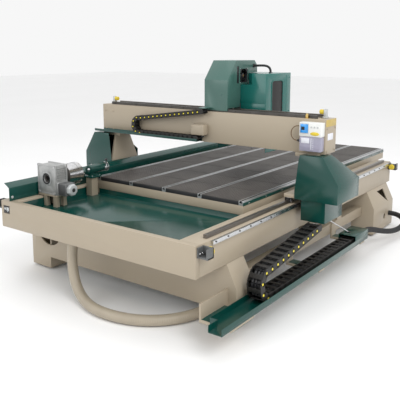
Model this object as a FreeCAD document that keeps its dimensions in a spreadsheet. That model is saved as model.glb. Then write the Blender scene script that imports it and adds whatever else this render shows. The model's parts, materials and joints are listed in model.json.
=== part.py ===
import FreeCAD, Part
import math
import os
import re
import Sketcher

# Gantry CNC router with a vacuum table, a rotary axis at the left and a spindle head on the far
# side of the gantry. Millimetres; +X across the table, +Y along it, +Z up. The origin is on the
# floor, under the middle of the welded frame.

doc = FreeCAD.newDocument("cnc_router")
sheet = doc.addObject("Spreadsheet::Sheet", "Sizes")

SIZES = {
    # welded frame
    "frame_len": 3024, "frame_half": 836, "beam_wide": 140, "beam_high": 186, "beam_top": 568,
    "wall": 8, "plate": 12, "apron_deep": 40, "rear_deep": 100,
    "leg_half": 905, "leg_in": 706, "leg_low": 96, "leg_flare": 240, "leg_base": 14,
    "front_leg_at": -1214, "front_leg_deep": 180, "rear_leg_at": 945, "rear_leg_deep": 482,
    "tie_low": 170, "tie_high": 80, "tie_in": 716, "foot_front_y": -1118, "foot_rear_y": 1222,
    "foot_x": 806, "foot_pad": 40, "tray_level": 500,
    # table
    "table_front": -768, "table_len": 2580, "table_half": 660, "table_top": 630,
    "table_under": 538, "panel_thick": 30, "slot_wide": 34, "slot_step": 313,
    # linear guides, common to all axes
    "rail_wide": 23, "rail_high": 22, "block_wide": 44, "block_len": 84, "guide_high": 40,
    "block_gap": 4, "rail_x": 796, "rack_thick": 18, "rack_tall": 24, "mesh_gap": 0.4,
    # gantry
    "gantry_near": -340, "gantry_deep": 160, "gantry_low": 909, "gantry_high": 229,
    "gantry_half": 1018, "foot_in": 856, "foot_thick": 20, "foot_near": -422, "foot_far": -78,
    "saddle_thick": 24, "saddle_in": 766, "saddle_out": 1010, "pinion_rad": 27, "drive_y": -228,
    "cover_near": -426, "cover_far": -72, "cover_out": 1152, "cover_low": 605, "skin": 2,
    # head
    "head_left": 30, "head_right": 450, "head_mid": 240, "head_near": -320, "head_far": 235,
    "head_back": -143, "saddle_back": -140, "saddle_front": -125, "near_right": 235,
    "near_top": 1510, "fan_back": -36, "fan_low": 1334, "cover_top": 1415, "cover_base": 835, "spindle_y": 20, "spindle_rad": 55,
    "slide_back": -80, "slide_front": -62, "nose_low": 980, "tool_tip": 826, "screw_y": -102.5,
    # rotary axis
    "rotary_x": -640, "rotary_z": 700, "gear_front": -1272, "gear_back": -1165, "chuck_rad": 82,
    "chuck_face": -1000, "jaw_end": -952, "tail_y": -880,
    # cable chains
    "chain_wide": 94, "chain_half": 25, "chain_x": 940, "chain_bend": 80, "chain_bend_y": -1060,
    "tray_x": 920, "tray_wide": 134, "tray_low": 152, "tray_front": -1580, "tray_back": 420,
    "head_chain_y": -406, "head_chain_wide": 60, "head_chain_half": 18, "head_chain_bend": 58,
    "head_bend_x": -560, "head_tray_low": 915,
}
for row, (alias, value) in enumerate(SIZES.items(), start=1):
    sheet.set("A%d" % row, alias)
    sheet.set("B%d" % row, str(value))
    sheet.setAlias("B%d" % row, alias)
doc.recompute()

WORD = re.compile(r"[a-z]+(?:_[a-z]+)*")
NODES = []


def cell(alias):
    """A size as a number, read from the sheet."""
    return float(sheet.get(alias))


def bind(obj, prop, text):
    """Bind a property to an expression written with the sheet's own words."""
    obj.setExpression(prop, WORD.sub(lambda m: "Sizes." + m.group(0), str(text)))


def put(obj, x, y, z):
    """Bind an object's place."""
    for axis, text in zip("xyz", (x, y, z)):
        bind(obj, "Placement.Base." + axis, text)


def slab(name, xs, ys, zs):
    """A box between pairs of expressions, each pair given as (low, high)."""
    obj = doc.addObject("Part::Box", name)
    for prop, (low, high) in zip(("Length", "Width", "Height"), (xs, ys, zs)):
        bind(obj, prop, "(%s) - (%s)" % (high, low))
    put(obj, xs[0], ys[0], zs[0])
    return obj


TURNS = {
    "X": FreeCAD.Rotation(FreeCAD.Vector(0, 1, 0), 90),
    "Y": FreeCAD.Rotation(FreeCAD.Vector(1, 0, 0), -90),
    "Z": FreeCAD.Rotation(),
}


def rod(name, axis, at, radius, length, tip=None):
    """A cylinder from a point along +axis, or a cone when a tip radius is given."""
    obj = doc.addObject("Part::Cylinder" if tip is None else "Part::Cone", name)
    if tip is None:
        bind(obj, "Radius", radius)
    else:
        bind(obj, "Radius1", radius)
        bind(obj, "Radius2", tip)
    bind(obj, "Height", length)
    obj.Placement = FreeCAD.Placement(FreeCAD.Vector(), TURNS[axis])
    put(obj, *at)
    return obj


PLANES = {"XZ": ("XZ_Plane", "y"), "YZ": ("YZ_Plane", "x"), "XY": ("XY_Plane", "z")}


def prism(name, plane, points, low, high):
    """A body whose sketched outline is padded between two expressions along the plane's normal."""
    role, axis = PLANES[plane]
    body = doc.addObject("PartDesign::Body", name)
    sketch = body.newObject("Sketcher::SketchObject", name + "_outline")
    origin_plane = next(f for f in body.Origin.OriginFeatures if f.Role == role)
    sketch.AttachmentSupport = [(origin_plane, "")]
    sketch.MapMode = "FlatFace"
    start = [FreeCAD.Vector(number(u), number(v), 0) for u, v in points]
    count = len(start)
    for i in range(count):
        sketch.addGeometry(Part.LineSegment(start[i], start[(i + 1) % count]), False)
    for i in range(count):
        sketch.addConstraint(Sketcher.Constraint("Coincident", i, 2, (i + 1) % count, 1))
    for i, point in enumerate(points):
        for kind, text, value in zip(("DistanceX", "DistanceY"), point, start[i]):
            index = sketch.addConstraint(Sketcher.Constraint(kind, -1, 1, i, 1, value))
            bind(sketch, "Constraints[%d]" % index, text)
    pad = body.newObject("PartDesign::Pad", name + "_pad")
    pad.Profile = sketch
    pad.Reversed = plane == "XZ"
    bind(pad, "Length", "(%s) - (%s)" % (high, low))
    bind(body, "Placement.Base." + axis, low)
    return body


def number(text):
    """An expression's present value, worked out by the sheet."""
    sheet.set("D1", "=" + str(text))
    sheet.recompute()
    value = float(sheet.get("D1"))
    sheet.clear("D1")
    return value


def cut(name, base, *tools):
    """One object less others."""
    obj = doc.addObject("Part::Cut", name)
    obj.Base = base
    obj.Tool = tools[0] if len(tools) == 1 else join(name + "_tools", *tools)
    return obj


def join(name, *shapes):
    """Objects fused into one."""
    obj = doc.addObject("Part::MultiFuse", name)
    obj.Shapes = list(shapes)
    return obj


def common(name, first, second):
    """What two objects share."""
    obj = doc.addObject("Part::Common", name)
    obj.Base = first
    obj.Tool = second
    return obj


def group(name, *shapes):
    """Separate solids kept together in one node."""
    obj = doc.addObject("Part::Compound", name)
    obj.Links = list(shapes)
    return obj


def node(label, obj):
    """Name a finished sub-part; the label is its node's and its file's name."""
    obj.Label = label
    NODES.append(obj)
    return obj


def sided(side, low, high):
    """A pair of X expressions on the right (+1) or mirrored to the left (-1)."""
    return (low, high) if side > 0 else ("-(%s)" % high, "-(%s)" % low)


SIDES = (("left", -1), ("right", 1))


# Welded frame -------------------------------------------------------------------------------------

def side_beams():
    tubes = []
    ys = ("-frame_len / 2 + apron_deep", "frame_len / 2")
    for word, side in SIDES:
        outer = slab("beam_outer_" + word, sided(side, "frame_half - beam_wide", "frame_half"), ys,
                     ("beam_top - beam_high", "beam_top"))
        inner = slab("beam_inner_" + word,
                     sided(side, "frame_half - beam_wide + wall", "frame_half - wall"),
                     (ys[0] + " - 1", ys[1] + " + 1"),
                     ("beam_top - beam_high + wall", "beam_top - wall"))
        tubes.append(cut("beam_tube_" + word, outer, inner))
    node("side_beams", group("side_beams", *tubes))


def front_apron():
    zs = ("beam_top - beam_high", "beam_top")
    xs = ("-frame_half", "frame_half")
    front = "-frame_len / 2"
    face = slab("apron_face", xs, (front, front + " + plate"), zs)
    lips = [
        slab("apron_lip_top", xs, (front, front + " + apron_deep"), ("beam_top - wall", "beam_top")),
        slab("apron_lip_low", xs, (front, front + " + apron_deep"), (zs[0], zs[0] + " + wall")),
    ]
    port = slab("apron_port", ("-frame_half + 22", "-frame_half + 88"), (front + " - 5", front + " + 20"),
                ("beam_top - 84", "beam_top - 36"))
    node("front_apron", cut("front_apron", join("apron_shell", face, *lips), port))


def rear_cross_beam():
    xs = ("-frame_half + beam_wide", "frame_half - beam_wide")
    ys = ("frame_len / 2 - rear_deep", "frame_len / 2")
    outer = slab("rear_outer", xs, ys, ("beam_top - 166", "table_under"))
    inner = slab("rear_inner", (xs[0] + " - 1", xs[1] + " + 1"), (ys[0] + " + wall", ys[1] + " - wall"),
                 ("beam_top - 158", "table_under - wall"))
    node("rear_cross_beam", cut("rear_cross_beam", outer, inner))


def leg_outline(side, inset):
    """A leg's outline seen from the front: straight inside, flared outwards below the beam."""
    s = "" if side > 0 else "-"
    top = "beam_top - beam_high"
    return [
        (s + "(leg_in + %s)" % inset, "leg_base"),
        (s + "(leg_half - %s)" % inset, "leg_base"),
        (s + "(leg_half - %s)" % inset, "leg_flare"),
        (s + "(frame_half - %s)" % inset, top),
        (s + "(leg_in + %s)" % inset, top),
    ]


def leg_frame(word, at, deep):
    """Two box legs joined by a deep cross plate at the front."""
    far = "%s + %s" % (at, deep)
    portal = prism(word + "_portal", "XZ", [
        ("-leg_half", "leg_base"), ("-leg_in", "leg_base"), ("-leg_in", "leg_low"), ("leg_in", "leg_low"),
        ("leg_in", "leg_base"), ("leg_half", "leg_base"), ("leg_half", "leg_flare"),
        ("frame_half", "beam_top - beam_high"), ("-frame_half", "beam_top - beam_high"),
        ("-leg_half", "leg_flare")], at, at + " + plate")
    solids = [portal]
    hollows = []
    for name, side in SIDES:
        tag = word + "_" + name
        solids.append(prism(tag + "_leg", "XZ", leg_outline(side, "0"), at + " + plate", far))
        hollows.append(prism(tag + "_hollow", "XZ", leg_outline(side, "plate"), at + " + plate",
                             far + " - plate"))
        hollows.append(slab(tag + "_open_base", sided(side, "leg_in + plate", "leg_half - plate"),
                            (at + " + plate", far + " - plate"), ("0", "leg_base + 4")))
    return solids, hollows


def jack_hole(word, side, y):
    """The round opening in a leg's outer face that gives a spanner its way to the levelling foot."""
    xs = sided(side, "leg_half - 40", "leg_half + 5")
    return rod("jack_hole_%s_%d" % (word, side), "X", (xs[0], y, "120"), "26", "45")


def front_leg_frame():
    solids, hollows = leg_frame("front", "front_leg_at", "front_leg_deep")
    arch = rod("front_arch", "Y", ("-710", "front_leg_at - 5", "318"), "130", "plate + 5")
    holes = [jack_hole("front", side, "foot_front_y") for word, side in SIDES]
    shelf = [slab("front_shelf_" + word, sided(side, "leg_in + plate", "leg_half - plate"),
                  ("front_leg_at + plate", "front_leg_at + front_leg_deep - plate"), ("30", "42"))
             for word, side in SIDES]
    bores = [rod("front_bore_" + word, "Z", ("%d * foot_x" % side, "foot_front_y", "25"), "10.2", "25")
             for word, side in SIDES]
    box = join("front_legs", cut("front_shell", join("front_solid", *solids), arch, *hollows, *holes), *shelf)
    node("front_leg_frame", cut("front_leg_frame", box, *bores))


def rear_leg_frame():
    solids, hollows = leg_frame("rear", "rear_leg_at", "rear_leg_deep")
    window = prism("rear_window", "YZ", [("1150", "352"), ("1302", "352"), ("1302", "240")],
                   "-leg_half - 5", "leg_half + 5")
    keep = slab("rear_window_keep", ("-leg_in + 40", "leg_in - 40"), ("1100", "1400"), ("200", "370"))
    holes = [jack_hole("rear", side, "foot_rear_y") for word, side in SIDES]
    shelf = [slab("rear_shelf_" + word, sided(side, "leg_in + plate", "leg_half - plate"),
                  ("rear_leg_at + plate", "rear_leg_at + rear_leg_deep - plate"), ("30", "42"))
             for word, side in SIDES]
    bores = [rod("rear_bore_" + word, "Z", ("%d * foot_x" % side, "foot_rear_y", "25"), "10.2", "25")
             for word, side in SIDES]
    box = join("rear_legs", cut("rear_shell", join("rear_solid", *solids), cut("rear_windows", window, keep),
                                *hollows, *holes), *shelf)
    node("rear_leg_frame", cut("rear_leg_frame", box, *bores))


def tie_rails():
    """Low tubes between the leg frames, each with two posts up to its side beam."""
    ties = []
    ys = ("front_leg_at + front_leg_deep", "rear_leg_at")
    zs = ("tie_low", "tie_low + tie_high")
    for word, side in SIDES:
        outer = slab("tie_outer_" + word, sided(side, "tie_in", "tie_in + tie_high"), ys, zs)
        inner = slab("tie_inner_" + word, sided(side, "tie_in + wall", "tie_in + tie_high - wall"),
                     (ys[0] + " - 1", ys[1] + " + 1"), (zs[0] + " + wall", zs[1] + " - wall"))
        posts = [slab("tie_post_%s_%d" % (word, i), sided(side, "tie_in", "tie_in + tie_high"),
                      (str(y), "%s + tie_high" % y), (zs[1], "beam_top - beam_high"))
                 for i, y in enumerate(("-90", "430"))]
        ties.append(join("tie_" + word, cut("tie_tube_" + word, outer, inner), *posts))
    node("tie_rails", group("tie_rails", *ties))


def levelling_feet():
    feet = []
    for word, side in SIDES:
        for end in ("front", "rear"):
            tag = "level_%s_%s" % (word, end)
            at = ("%d * foot_x" % side, "foot_%s_y" % end)
            pad = rod(tag + "_pad", "Z", (*at, "0"), "foot_pad", "12")
            screw = rod(tag + "_screw", "Z", (*at, "12"), "10", "78")
            nut = rod(tag + "_nut", "Z", (*at, "42"), "17", "16")
            feet.append(join(tag, pad, screw, nut))
    node("levelling_feet", group("levelling_feet", *feet))


def tray_sheet():
    """The sheet in front of the table, folded up along the beams and under the table's front."""
    edge = "frame_half - beam_wide"
    ys = ("-frame_len / 2 + apron_deep", "table_front - 4")
    zs = ("tray_level", "tray_level + 3")
    floor = slab("tray_floor", ("-(%s)" % edge, edge), ys, zs)
    left = slab("tray_fold_left", ("-(%s)" % edge, "-(%s) + 3" % edge), ys, (zs[0], "tray_level + 55"))
    right = slab("tray_fold_right", (edge + " - 3", edge), ys, (zs[0], "tray_level + 55"))
    back = slab("tray_fold_back", ("-table_half + 20", "table_half - 20"), ("table_front - 7", ys[1]),
                (zs[0], "table_under"))
    port = rod("tray_port", "Z", ("-200", "-1432", "tray_level - 5"), "30", "15")
    node("tray_sheet", cut("tray_sheet", join("tray_folded", floor, left, right, back), port))


# Table --------------------------------------------------------------------------------------------

def table_frame():
    """The ladder frame under the table top and the cross tubes that carry it on the side beams."""
    ys = ("table_front", "table_front + table_len")
    zs = ("table_under", "table_top - panel_thick")
    bars = []
    for i, low in enumerate(("-table_half", "-slot_step - 20", "-20", "slot_step - 20", "table_half - 40")):
        bars.append(slab("ladder_long_%d" % i, (low, low + " + 40"), ys, zs))
    for i, y in enumerate(("table_front", "table_front + table_len - 40", "-140", "500", "1140")):
        bars.append(slab("ladder_cross_%d" % i, ("-table_half", "table_half"), (y, y + " + 40"), zs))
    edge = "frame_half - beam_wide"
    for i in range(5):
        y = "-740 + %d" % (i * 500)
        outer = slab("bearer_outer_%d" % i, ("-(%s)" % edge, edge), (y, y + " + 80"),
                     ("table_under - 98", "table_under"))
        inner = slab("bearer_inner_%d" % i, ("-(%s) - 1" % edge, edge + " + 1"), (y + " + 6", y + " + 74"),
                     ("table_under - 92", "table_under - 6"))
        bars.append(cut("bearer_%d" % i, outer, inner))
    node("table_frame", join("table_frame", *bars))


def slot_x(index):
    """The middle of T-slot rail 0 to 4; the outer two sit just inside the table's edges."""
    return ("-table_half + slot_wide / 2", "-slot_step", "0", "slot_step", "table_half - slot_wide / 2")[index]


def table_top():
    ys = ("table_front", "table_front + table_len")
    zs = ("table_top - panel_thick", "table_top")
    panels = [slab("panel_%d" % i, (slot_x(i) + " + slot_wide / 2", slot_x(i + 1) + " - slot_wide / 2"), ys, zs)
              for i in range(4)]
    node("vacuum_panels", group("vacuum_panels", *panels))
    rails = []
    for i in range(5):
        x = slot_x(i)
        bar = slab("t_bar_%d" % i, (x + " - slot_wide / 2", x + " + slot_wide / 2"), ys, zs)
        mouth = slab("t_mouth_%d" % i, (x + " - 5", x + " + 5"), (ys[0] + " - 1", ys[1] + " + 1"),
                     ("table_top - 8", "table_top + 1"))
        cross = slab("t_cross_%d" % i, (x + " - 10", x + " + 10"), (ys[0] + " - 1", ys[1] + " + 1"),
                     ("table_top - 16", "table_top - 8"))
        rails.append(cut("t_rail_%d" % i, bar, mouth, cross))
    node("t_slot_rails", group("t_slot_rails", *rails))


# Guides and drive along the table -------------------------------------------------------------------

RAIL_Y = ("-1372", "1424")


def y_guides():
    rails = []
    racks = []
    for word, side in SIDES:
        rails.append(slab("y_rail_" + word, sided(side, "rail_x - rail_wide / 2", "rail_x + rail_wide / 2"),
                          RAIL_Y, ("beam_top", "beam_top + rail_high")))
        racks.append(slab("y_rack_" + word, sided(side, "frame_half", "frame_half + rack_thick"), RAIL_Y,
                          ("beam_top - 3 - rack_tall", "beam_top - 3")))
        for i in range(24):
            x = sided(side, "frame_half + rack_thick", "frame_half + rack_thick + 3")[0]
            racks.append(rod("rack_screw_%s_%d" % (word, i), "X",
                             (x, "%s + 26 + %d" % (RAIL_Y[0], 120 * i), "beam_top - 11"), "4.5", "3"))
    node("y_rails", group("y_rails", *rails))
    node("y_racks", group("y_racks", *racks))


def y_stops():
    """Channel brackets on the beams' outer faces, each with a soft bumper facing the gantry."""
    stops = []
    for word, side in SIDES:
        for end, y, bumper_y in (("front", "-1500", "-1440"), ("rear", "1452", "1428")):
            tag = "%s_%s" % (word, end)
            xs = sided(side, "frame_half", "frame_half + 70")
            block = slab("stop_block_" + tag, xs, (y, y + " + 60"), ("beam_top - 68", "beam_top - 10"))
            inner = slab("stop_open_" + tag, sided(side, "frame_half + 10", "frame_half + 60"),
                         (y + " + 8", y + " + 52"), ("beam_top - 58", "beam_top"))
            stops.append(cut("stop_bracket_" + tag, block, inner))
            middle = "%d * (frame_half + 37)" % side
            stops.append(rod("stop_bumper_" + tag, "Y", (middle, bumper_y, "beam_top - 39"), "24", "24"))
    node("y_stops", group("y_stops", *stops))


def rail_guard():
    """The sheet guard along the left rail: an upright web with a top flange leaning over the rail."""
    web = prism("guard_sheet", "XZ", [
        ("-750", "beam_top"), ("-750", "beam_top + 93"), ("-800", "beam_top + 122"),
        ("-801", "beam_top + 120"), ("-752", "beam_top + 91"), ("-752", "beam_top")],
        "-frame_len / 2 + 6", "1440")
    hole = rod("guard_hole", "X", ("-760", "-frame_len / 2 + 30", "beam_top + 26"), "9", "20")
    node("rail_guard", cut("rail_guard", web, hole))


# Rotary axis ----------------------------------------------------------------------------------------

def rotary_drive():
    posts = [slab("rotary_post_%d_%d" % (i, j), (x, x + " + 34"), (y, y + " + 30"),
                  ("tray_level + 3", "rotary_z - 122"))
             for i, x in enumerate(("rotary_x - 48", "rotary_x + 51"))
             for j, y in enumerate(("gear_front + 6", "gear_back - 36"))]
    bed = slab("rotary_bed", ("rotary_x - 95", "rotary_x + 95"), ("gear_front", "gear_back"),
               ("rotary_z - 122", "rotary_z - 110"))
    node("rotary_posts", join("rotary_posts", bed, *posts))

    case = slab("gear_case", ("rotary_x - 84", "rotary_x + 84"), ("gear_front + 10", "gear_back - 10"),
                ("rotary_z - 110", "rotary_z + 90"))
    faces = [slab("gear_face_%d" % i, ("rotary_x - 95", "rotary_x + 95"), ys, ("rotary_z - 110", "rotary_z + 100"))
             for i, ys in enumerate((("gear_front", "gear_front + 14"), ("gear_back - 14", "gear_back")))]
    neck = slab("gear_neck", ("rotary_x + 84", "rotary_x + 95"), ("gear_front + 10", "gear_back - 10"),
                ("rotary_z - 110", "rotary_z - 16"))
    bore = rod("gear_bore", "Y", ("rotary_x", "gear_front - 5", "rotary_z"), "30", "130")
    node("rotary_gearbox", cut("rotary_gearbox", join("gear_body", case, neck, *faces), bore))

    middle = "(gear_front + gear_back) / 2"
    flange = slab("step_flange", ("rotary_x + 95", "rotary_x + 105"), (middle + " - 46", middle + " + 46"),
                  ("rotary_z - 109", "rotary_z - 17"))
    body = slab("step_body", ("rotary_x + 105", "rotary_x + 185"), (middle + " - 43", middle + " + 43"),
                ("rotary_z - 106", "rotary_z - 20"))
    cap = rod("step_cap", "X", ("rotary_x + 185", middle, "rotary_z - 63"), "38", "30")
    node("rotary_motor", join("rotary_motor", flange, body, cap))


def jaw_turn(index):
    """Jaws sit a third of a turn apart, the first pointing up."""
    return FreeCAD.Rotation(FreeCAD.Vector(0, 1, 0), 120 * index)


def rotary_chuck():
    """Hollow spindle, back plate and chuck body; its face has three guide slots for the jaws."""
    start = "gear_front + 8"
    axis = ("rotary_x", start, "rotary_z")
    spindle = rod("chuck_spindle", "Y", axis, "29.9", "gear_back + 5 - (%s)" % start)
    plate = rod("chuck_plate", "Y", ("rotary_x", "gear_back + 4", "rotary_z"), "chuck_rad", "30")
    body = rod("chuck_body", "Y", ("rotary_x", "gear_back + 34", "rotary_z"), "chuck_rad - 3",
               "chuck_face - gear_back - 34")
    bore = rod("chuck_bore", "Y", ("rotary_x", start + " - 5", "rotary_z"), "18", "chuck_face - (%s) + 10" % start)
    slots = []
    for i in range(3):
        slot = doc.addObject("Part::Box", "jaw_slot_%d" % i)
        bind(slot, "Length", "20.6")
        bind(slot, "Width", "18")
        bind(slot, "Height", "chuck_rad")
        turn = jaw_turn(i)
        corner = turn.multVec(FreeCAD.Vector(-10.3, 0, 0))
        slot.Placement = FreeCAD.Placement(FreeCAD.Vector(), turn)
        put(slot, "rotary_x + %.4f" % corner.x, "chuck_face - 14", "rotary_z + %.4f" % corner.z)
        slots.append(slot)
    node("rotary_chuck", cut("rotary_chuck", join("chuck_solid", spindle, plate, body), bore, *slots))
    for i in range(3):
        jaw(i)


def jaw(index):
    """A stepped jaw: its foot runs in the chuck's slot, its steps grip the work."""
    tag = "jaw_%d" % (index + 1)
    turn = jaw_turn(index)
    pieces = []
    for part, low, high, out_low, out_high in (("foot", "chuck_face - 13.7", "chuck_face", 20, 60),
                                               ("step", "chuck_face", "chuck_face + 22", 20, 60),
                                               ("tip", "chuck_face + 22", "jaw_end", 20, 40)):
        piece = doc.addObject("Part::Box", tag + "_" + part)
        bind(piece, "Length", "20")
        bind(piece, "Width", "(%s) - (%s)" % (high, low))
        bind(piece, "Height", str(out_high - out_low))
        corner = turn.multVec(FreeCAD.Vector(-10, 0, out_low))
        piece.Placement = FreeCAD.Placement(FreeCAD.Vector(), turn)
        put(piece, "rotary_x + %.4f" % corner.x, low, "rotary_z + %.4f" % corner.z)
        pieces.append(piece)
    node(tag, join(tag + "_solid", *pieces))


def tailstock():
    """Column, saddle and barrel in front of the table's left corner, with quill and clamp lever."""
    column = slab("tail_column", ("rotary_x - 30", "rotary_x + 30"), ("tail_y + 2", "tail_y + 62"),
                  ("tray_level + 3", "rotary_z - 60"))
    saddle = slab("tail_saddle", ("rotary_x - 45", "rotary_x + 45"), ("tail_y - 8", "tail_y + 90"),
                  ("rotary_z - 60", "rotary_z - 48"))
    web = slab("tail_web", ("rotary_x - 16", "rotary_x + 16"), ("tail_y + 6", "tail_y + 76"),
               ("rotary_z - 48", "rotary_z - 20"))
    barrel = rod("tail_barrel", "Y", ("rotary_x", "tail_y", "rotary_z"), "34", "180")
    boss = rod("tail_boss", "X", ("rotary_x + 20", "tail_y + 140", "rotary_z"), "13", "20")
    bore = rod("tail_bore", "Y", ("rotary_x", "tail_y - 5", "rotary_z"), "16", "150")
    node("tailstock_body", cut("tailstock_body", join("tail_solid", column, saddle, web, barrel, boss), bore))
    shaft = rod("quill_shaft", "Y", ("rotary_x", "tail_y + 5", "rotary_z"), "15.95", "95")
    tip = rod("quill_tip", "Y", ("rotary_x", "tail_y - 9", "rotary_z"), "2", "14", tip="15.95")
    node("tailstock_quill", join("tailstock_quill", shaft, tip))
    hub = rod("lever_hub", "X", ("rotary_x + 40.4", "tail_y + 140", "rotary_z"), "11", "12")
    arm = slab("lever_arm", ("rotary_x + 43", "rotary_x + 50"), ("tail_y + 135", "tail_y + 145"),
               ("rotary_z", "rotary_z + 58"))
    knob = doc.addObject("Part::Sphere", "lever_knob")
    bind(knob, "Radius", "10")
    put(knob, "rotary_x + 46.5", "tail_y + 140", "rotary_z + 62")
    node("tailstock_lever", join("tailstock_lever", hub, arm, knob))


# Cable chain along the table --------------------------------------------------------------------------

def chain_outline(bend_at, low_z, radius, half, low_end, high_end, slope):
    """Outline wire of a chain that runs back under itself, in the plane of its bend.

    The lower run is level; the upper run leaves the bend rising at the slope and ends square.
    """
    middle = FreeCAD.Vector(bend_at, low_z + radius, 0)
    rise = math.radians(slope)
    along = FreeCAD.Vector(math.cos(rise), math.sin(rise), 0)
    across = FreeCAD.Vector(-math.sin(rise), math.cos(rise), 0)
    edges = []
    ends = []
    for rad in (radius + half, radius - half):
        start = middle + FreeCAD.Vector(0, -rad, 0)
        turn = math.radians(225 + slope / 2 - 45)
        side = middle + FreeCAD.Vector(rad * math.cos(turn), rad * math.sin(turn), 0)
        top = middle + across * rad
        far = top + along * ((high_end - top.x) / along.x)
        edges.append(Part.LineSegment(FreeCAD.Vector(low_end, start.y, 0), start).toShape())
        edges.append(Part.Arc(start, side, top).toShape())
        edges.append(Part.LineSegment(top, far).toShape())
        ends.append((FreeCAD.Vector(low_end, start.y, 0), far))
    edges.append(Part.LineSegment(ends[0][0], ends[1][0]).toShape())
    edges.append(Part.LineSegment(ends[0][1], ends[1][1]).toShape())
    return Part.Face(Part.Wire(Part.__sortEdges__(edges)))


def y_chain():
    face = chain_outline(cell("chain_bend_y"), cell("tray_low") + 5 + cell("chain_half"), cell("chain_bend"),
                         cell("chain_half"), 230, -402, 8)
    solid = face.extrude(FreeCAD.Vector(0, 0, cell("chain_wide")))
    obj = doc.addObject("Part::Feature", "y_chain")
    obj.Shape = solid
    upright = FreeCAD.Rotation(FreeCAD.Vector(0, 1, 0), FreeCAD.Vector(0, 0, 1), FreeCAD.Vector(1, 0, 0), "XYZ")
    obj.Placement = FreeCAD.Placement(FreeCAD.Vector(cell("chain_x"), 0, 0), upright)
    node("y_chain", obj)


def chain_tray():
    xs = ("tray_x", "tray_x + tray_wide")
    ys = ("tray_front", "tray_back")
    floor = slab("tray_channel_floor", xs, ys, ("tray_low", "tray_low + 3"))
    inner = slab("tray_channel_inner", (xs[0], xs[0] + " + 3"), ys, ("tray_low", "tray_low + 40"))
    outer = slab("tray_channel_outer", (xs[1] + " - 3", xs[1]), ys, ("tray_low", "tray_low + 40"))
    corner = slab("tray_corner", (xs[0] + " - 5", xs[0] + " + 47"), (ys[0] + " - 5", "-1495"),
                  ("tray_low - 5", "tray_low + 45"))
    narrow = slab("tray_narrow_wall", (xs[0] + " + 47", xs[0] + " + 50"), (ys[0], "-1495"),
                  ("tray_low", "tray_low + 40"))
    web = slab("tray_step_web", (xs[0], xs[0] + " + 50"), ("-1498", "-1495"), ("tray_low", "tray_low + 40"))
    channel = join("tray_channel", cut("tray_wide", join("tray_long", floor, inner, outer), corner), narrow, web)
    lows = ("tray_low - 20", "tray_low")
    front = join("tray_bracket_front",
                 slab("bracket_front_arm", ("848", xs[1] + " - 10"), ("-1480", "-1250"), lows),
                 slab("bracket_front_web", ("836", "848"), ("-1480", "front_leg_at"), ("tray_low - 20", "240")))
    brackets = [front]
    for i, y in enumerate(("-420", "300")):
        arm = slab("bracket_arm_%d" % i, ("tie_in + tie_high", xs[1] + " - 10"), (y, y + " + 80"), lows)
        web = slab("bracket_web_%d" % i, ("tie_in + tie_high", "tie_in + tie_high + 12"), (y, y + " + 80"),
                   ("tray_low - 20", "tie_low + tie_high"))
        brackets.append(join("tray_bracket_%d" % i, arm, web))
    node("chain_tray", group("chain_tray", channel, *brackets))


def tray_end_box():
    """The box over the chain's fixed end, with the gland that the rear conduit leaves through."""
    xs = ("tray_x", "tray_x + tray_wide")
    ys = ("170", "tray_back")
    outer = slab("end_outer", xs, ys, ("tray_low + 40", "tray_low + 76"))
    inner = slab("end_inner", (xs[0] + " + 3", xs[1] + " - 3"), (ys[0] + " - 5", ys[1] + " - 3"),
                 ("tray_low + 35", "tray_low + 73"))
    back = slab("end_back", (xs[0] + " + 3", xs[1] + " - 3"), ("tray_back - 3", "tray_back"),
                ("tray_low + 3", "tray_low + 42"))
    gland = rod("end_gland", "Y", ("tray_x + 90", "tray_back", "tray_low + 38"), "24", "26")
    node("tray_end_box", join("tray_end_box", cut("end_shell", outer, inner), back, gland))


# Cords ------------------------------------------------------------------------------------------------

def round_tube(name, route, radius):
    """A tube along straight runs joined by the largest tangent arcs that the runs allow."""
    points = [FreeCAD.Vector(*p) for p in route]
    edges = []
    here = points[0]
    radii = []
    for before, corner, after in zip(points, points[1:], points[2:]):
        u = (corner - before).normalize()
        v = (after - corner).normalize()
        half = math.acos(max(-1.0, min(1.0, u.dot(v)))) / 2
        shorter = min((corner - before).Length, (after - corner).Length)
        back = 0.45 * shorter
        radii.append(back / math.tan(half))
        start = corner - u * back
        end = corner + v * back
        inward = (v - u).normalize()
        middle = corner + inward * (radii[-1] / math.cos(half) - radii[-1])
        edges.append(Part.LineSegment(here, start).toShape())
        edges.append(Part.Arc(start, middle, end).toShape())
        here = end
    edges.append(Part.LineSegment(here, points[-1]).toShape())
    path = Part.Wire(edges)
    ring = Part.Wire(Part.makeCircle(radius, points[0], points[1] - points[0]))
    tube = path.makePipeShell([ring], True, False)
    wanted = math.pi * radius ** 2 * path.Length
    print("%s: length %.0f mm, least bend %.0f mm, volume %.4f of section x length"
          % (name, path.Length, min(radii), tube.Volume / wanted))
    obj = doc.addObject("Part::Feature", name)
    obj.Shape = tube
    node(name, obj)


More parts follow.
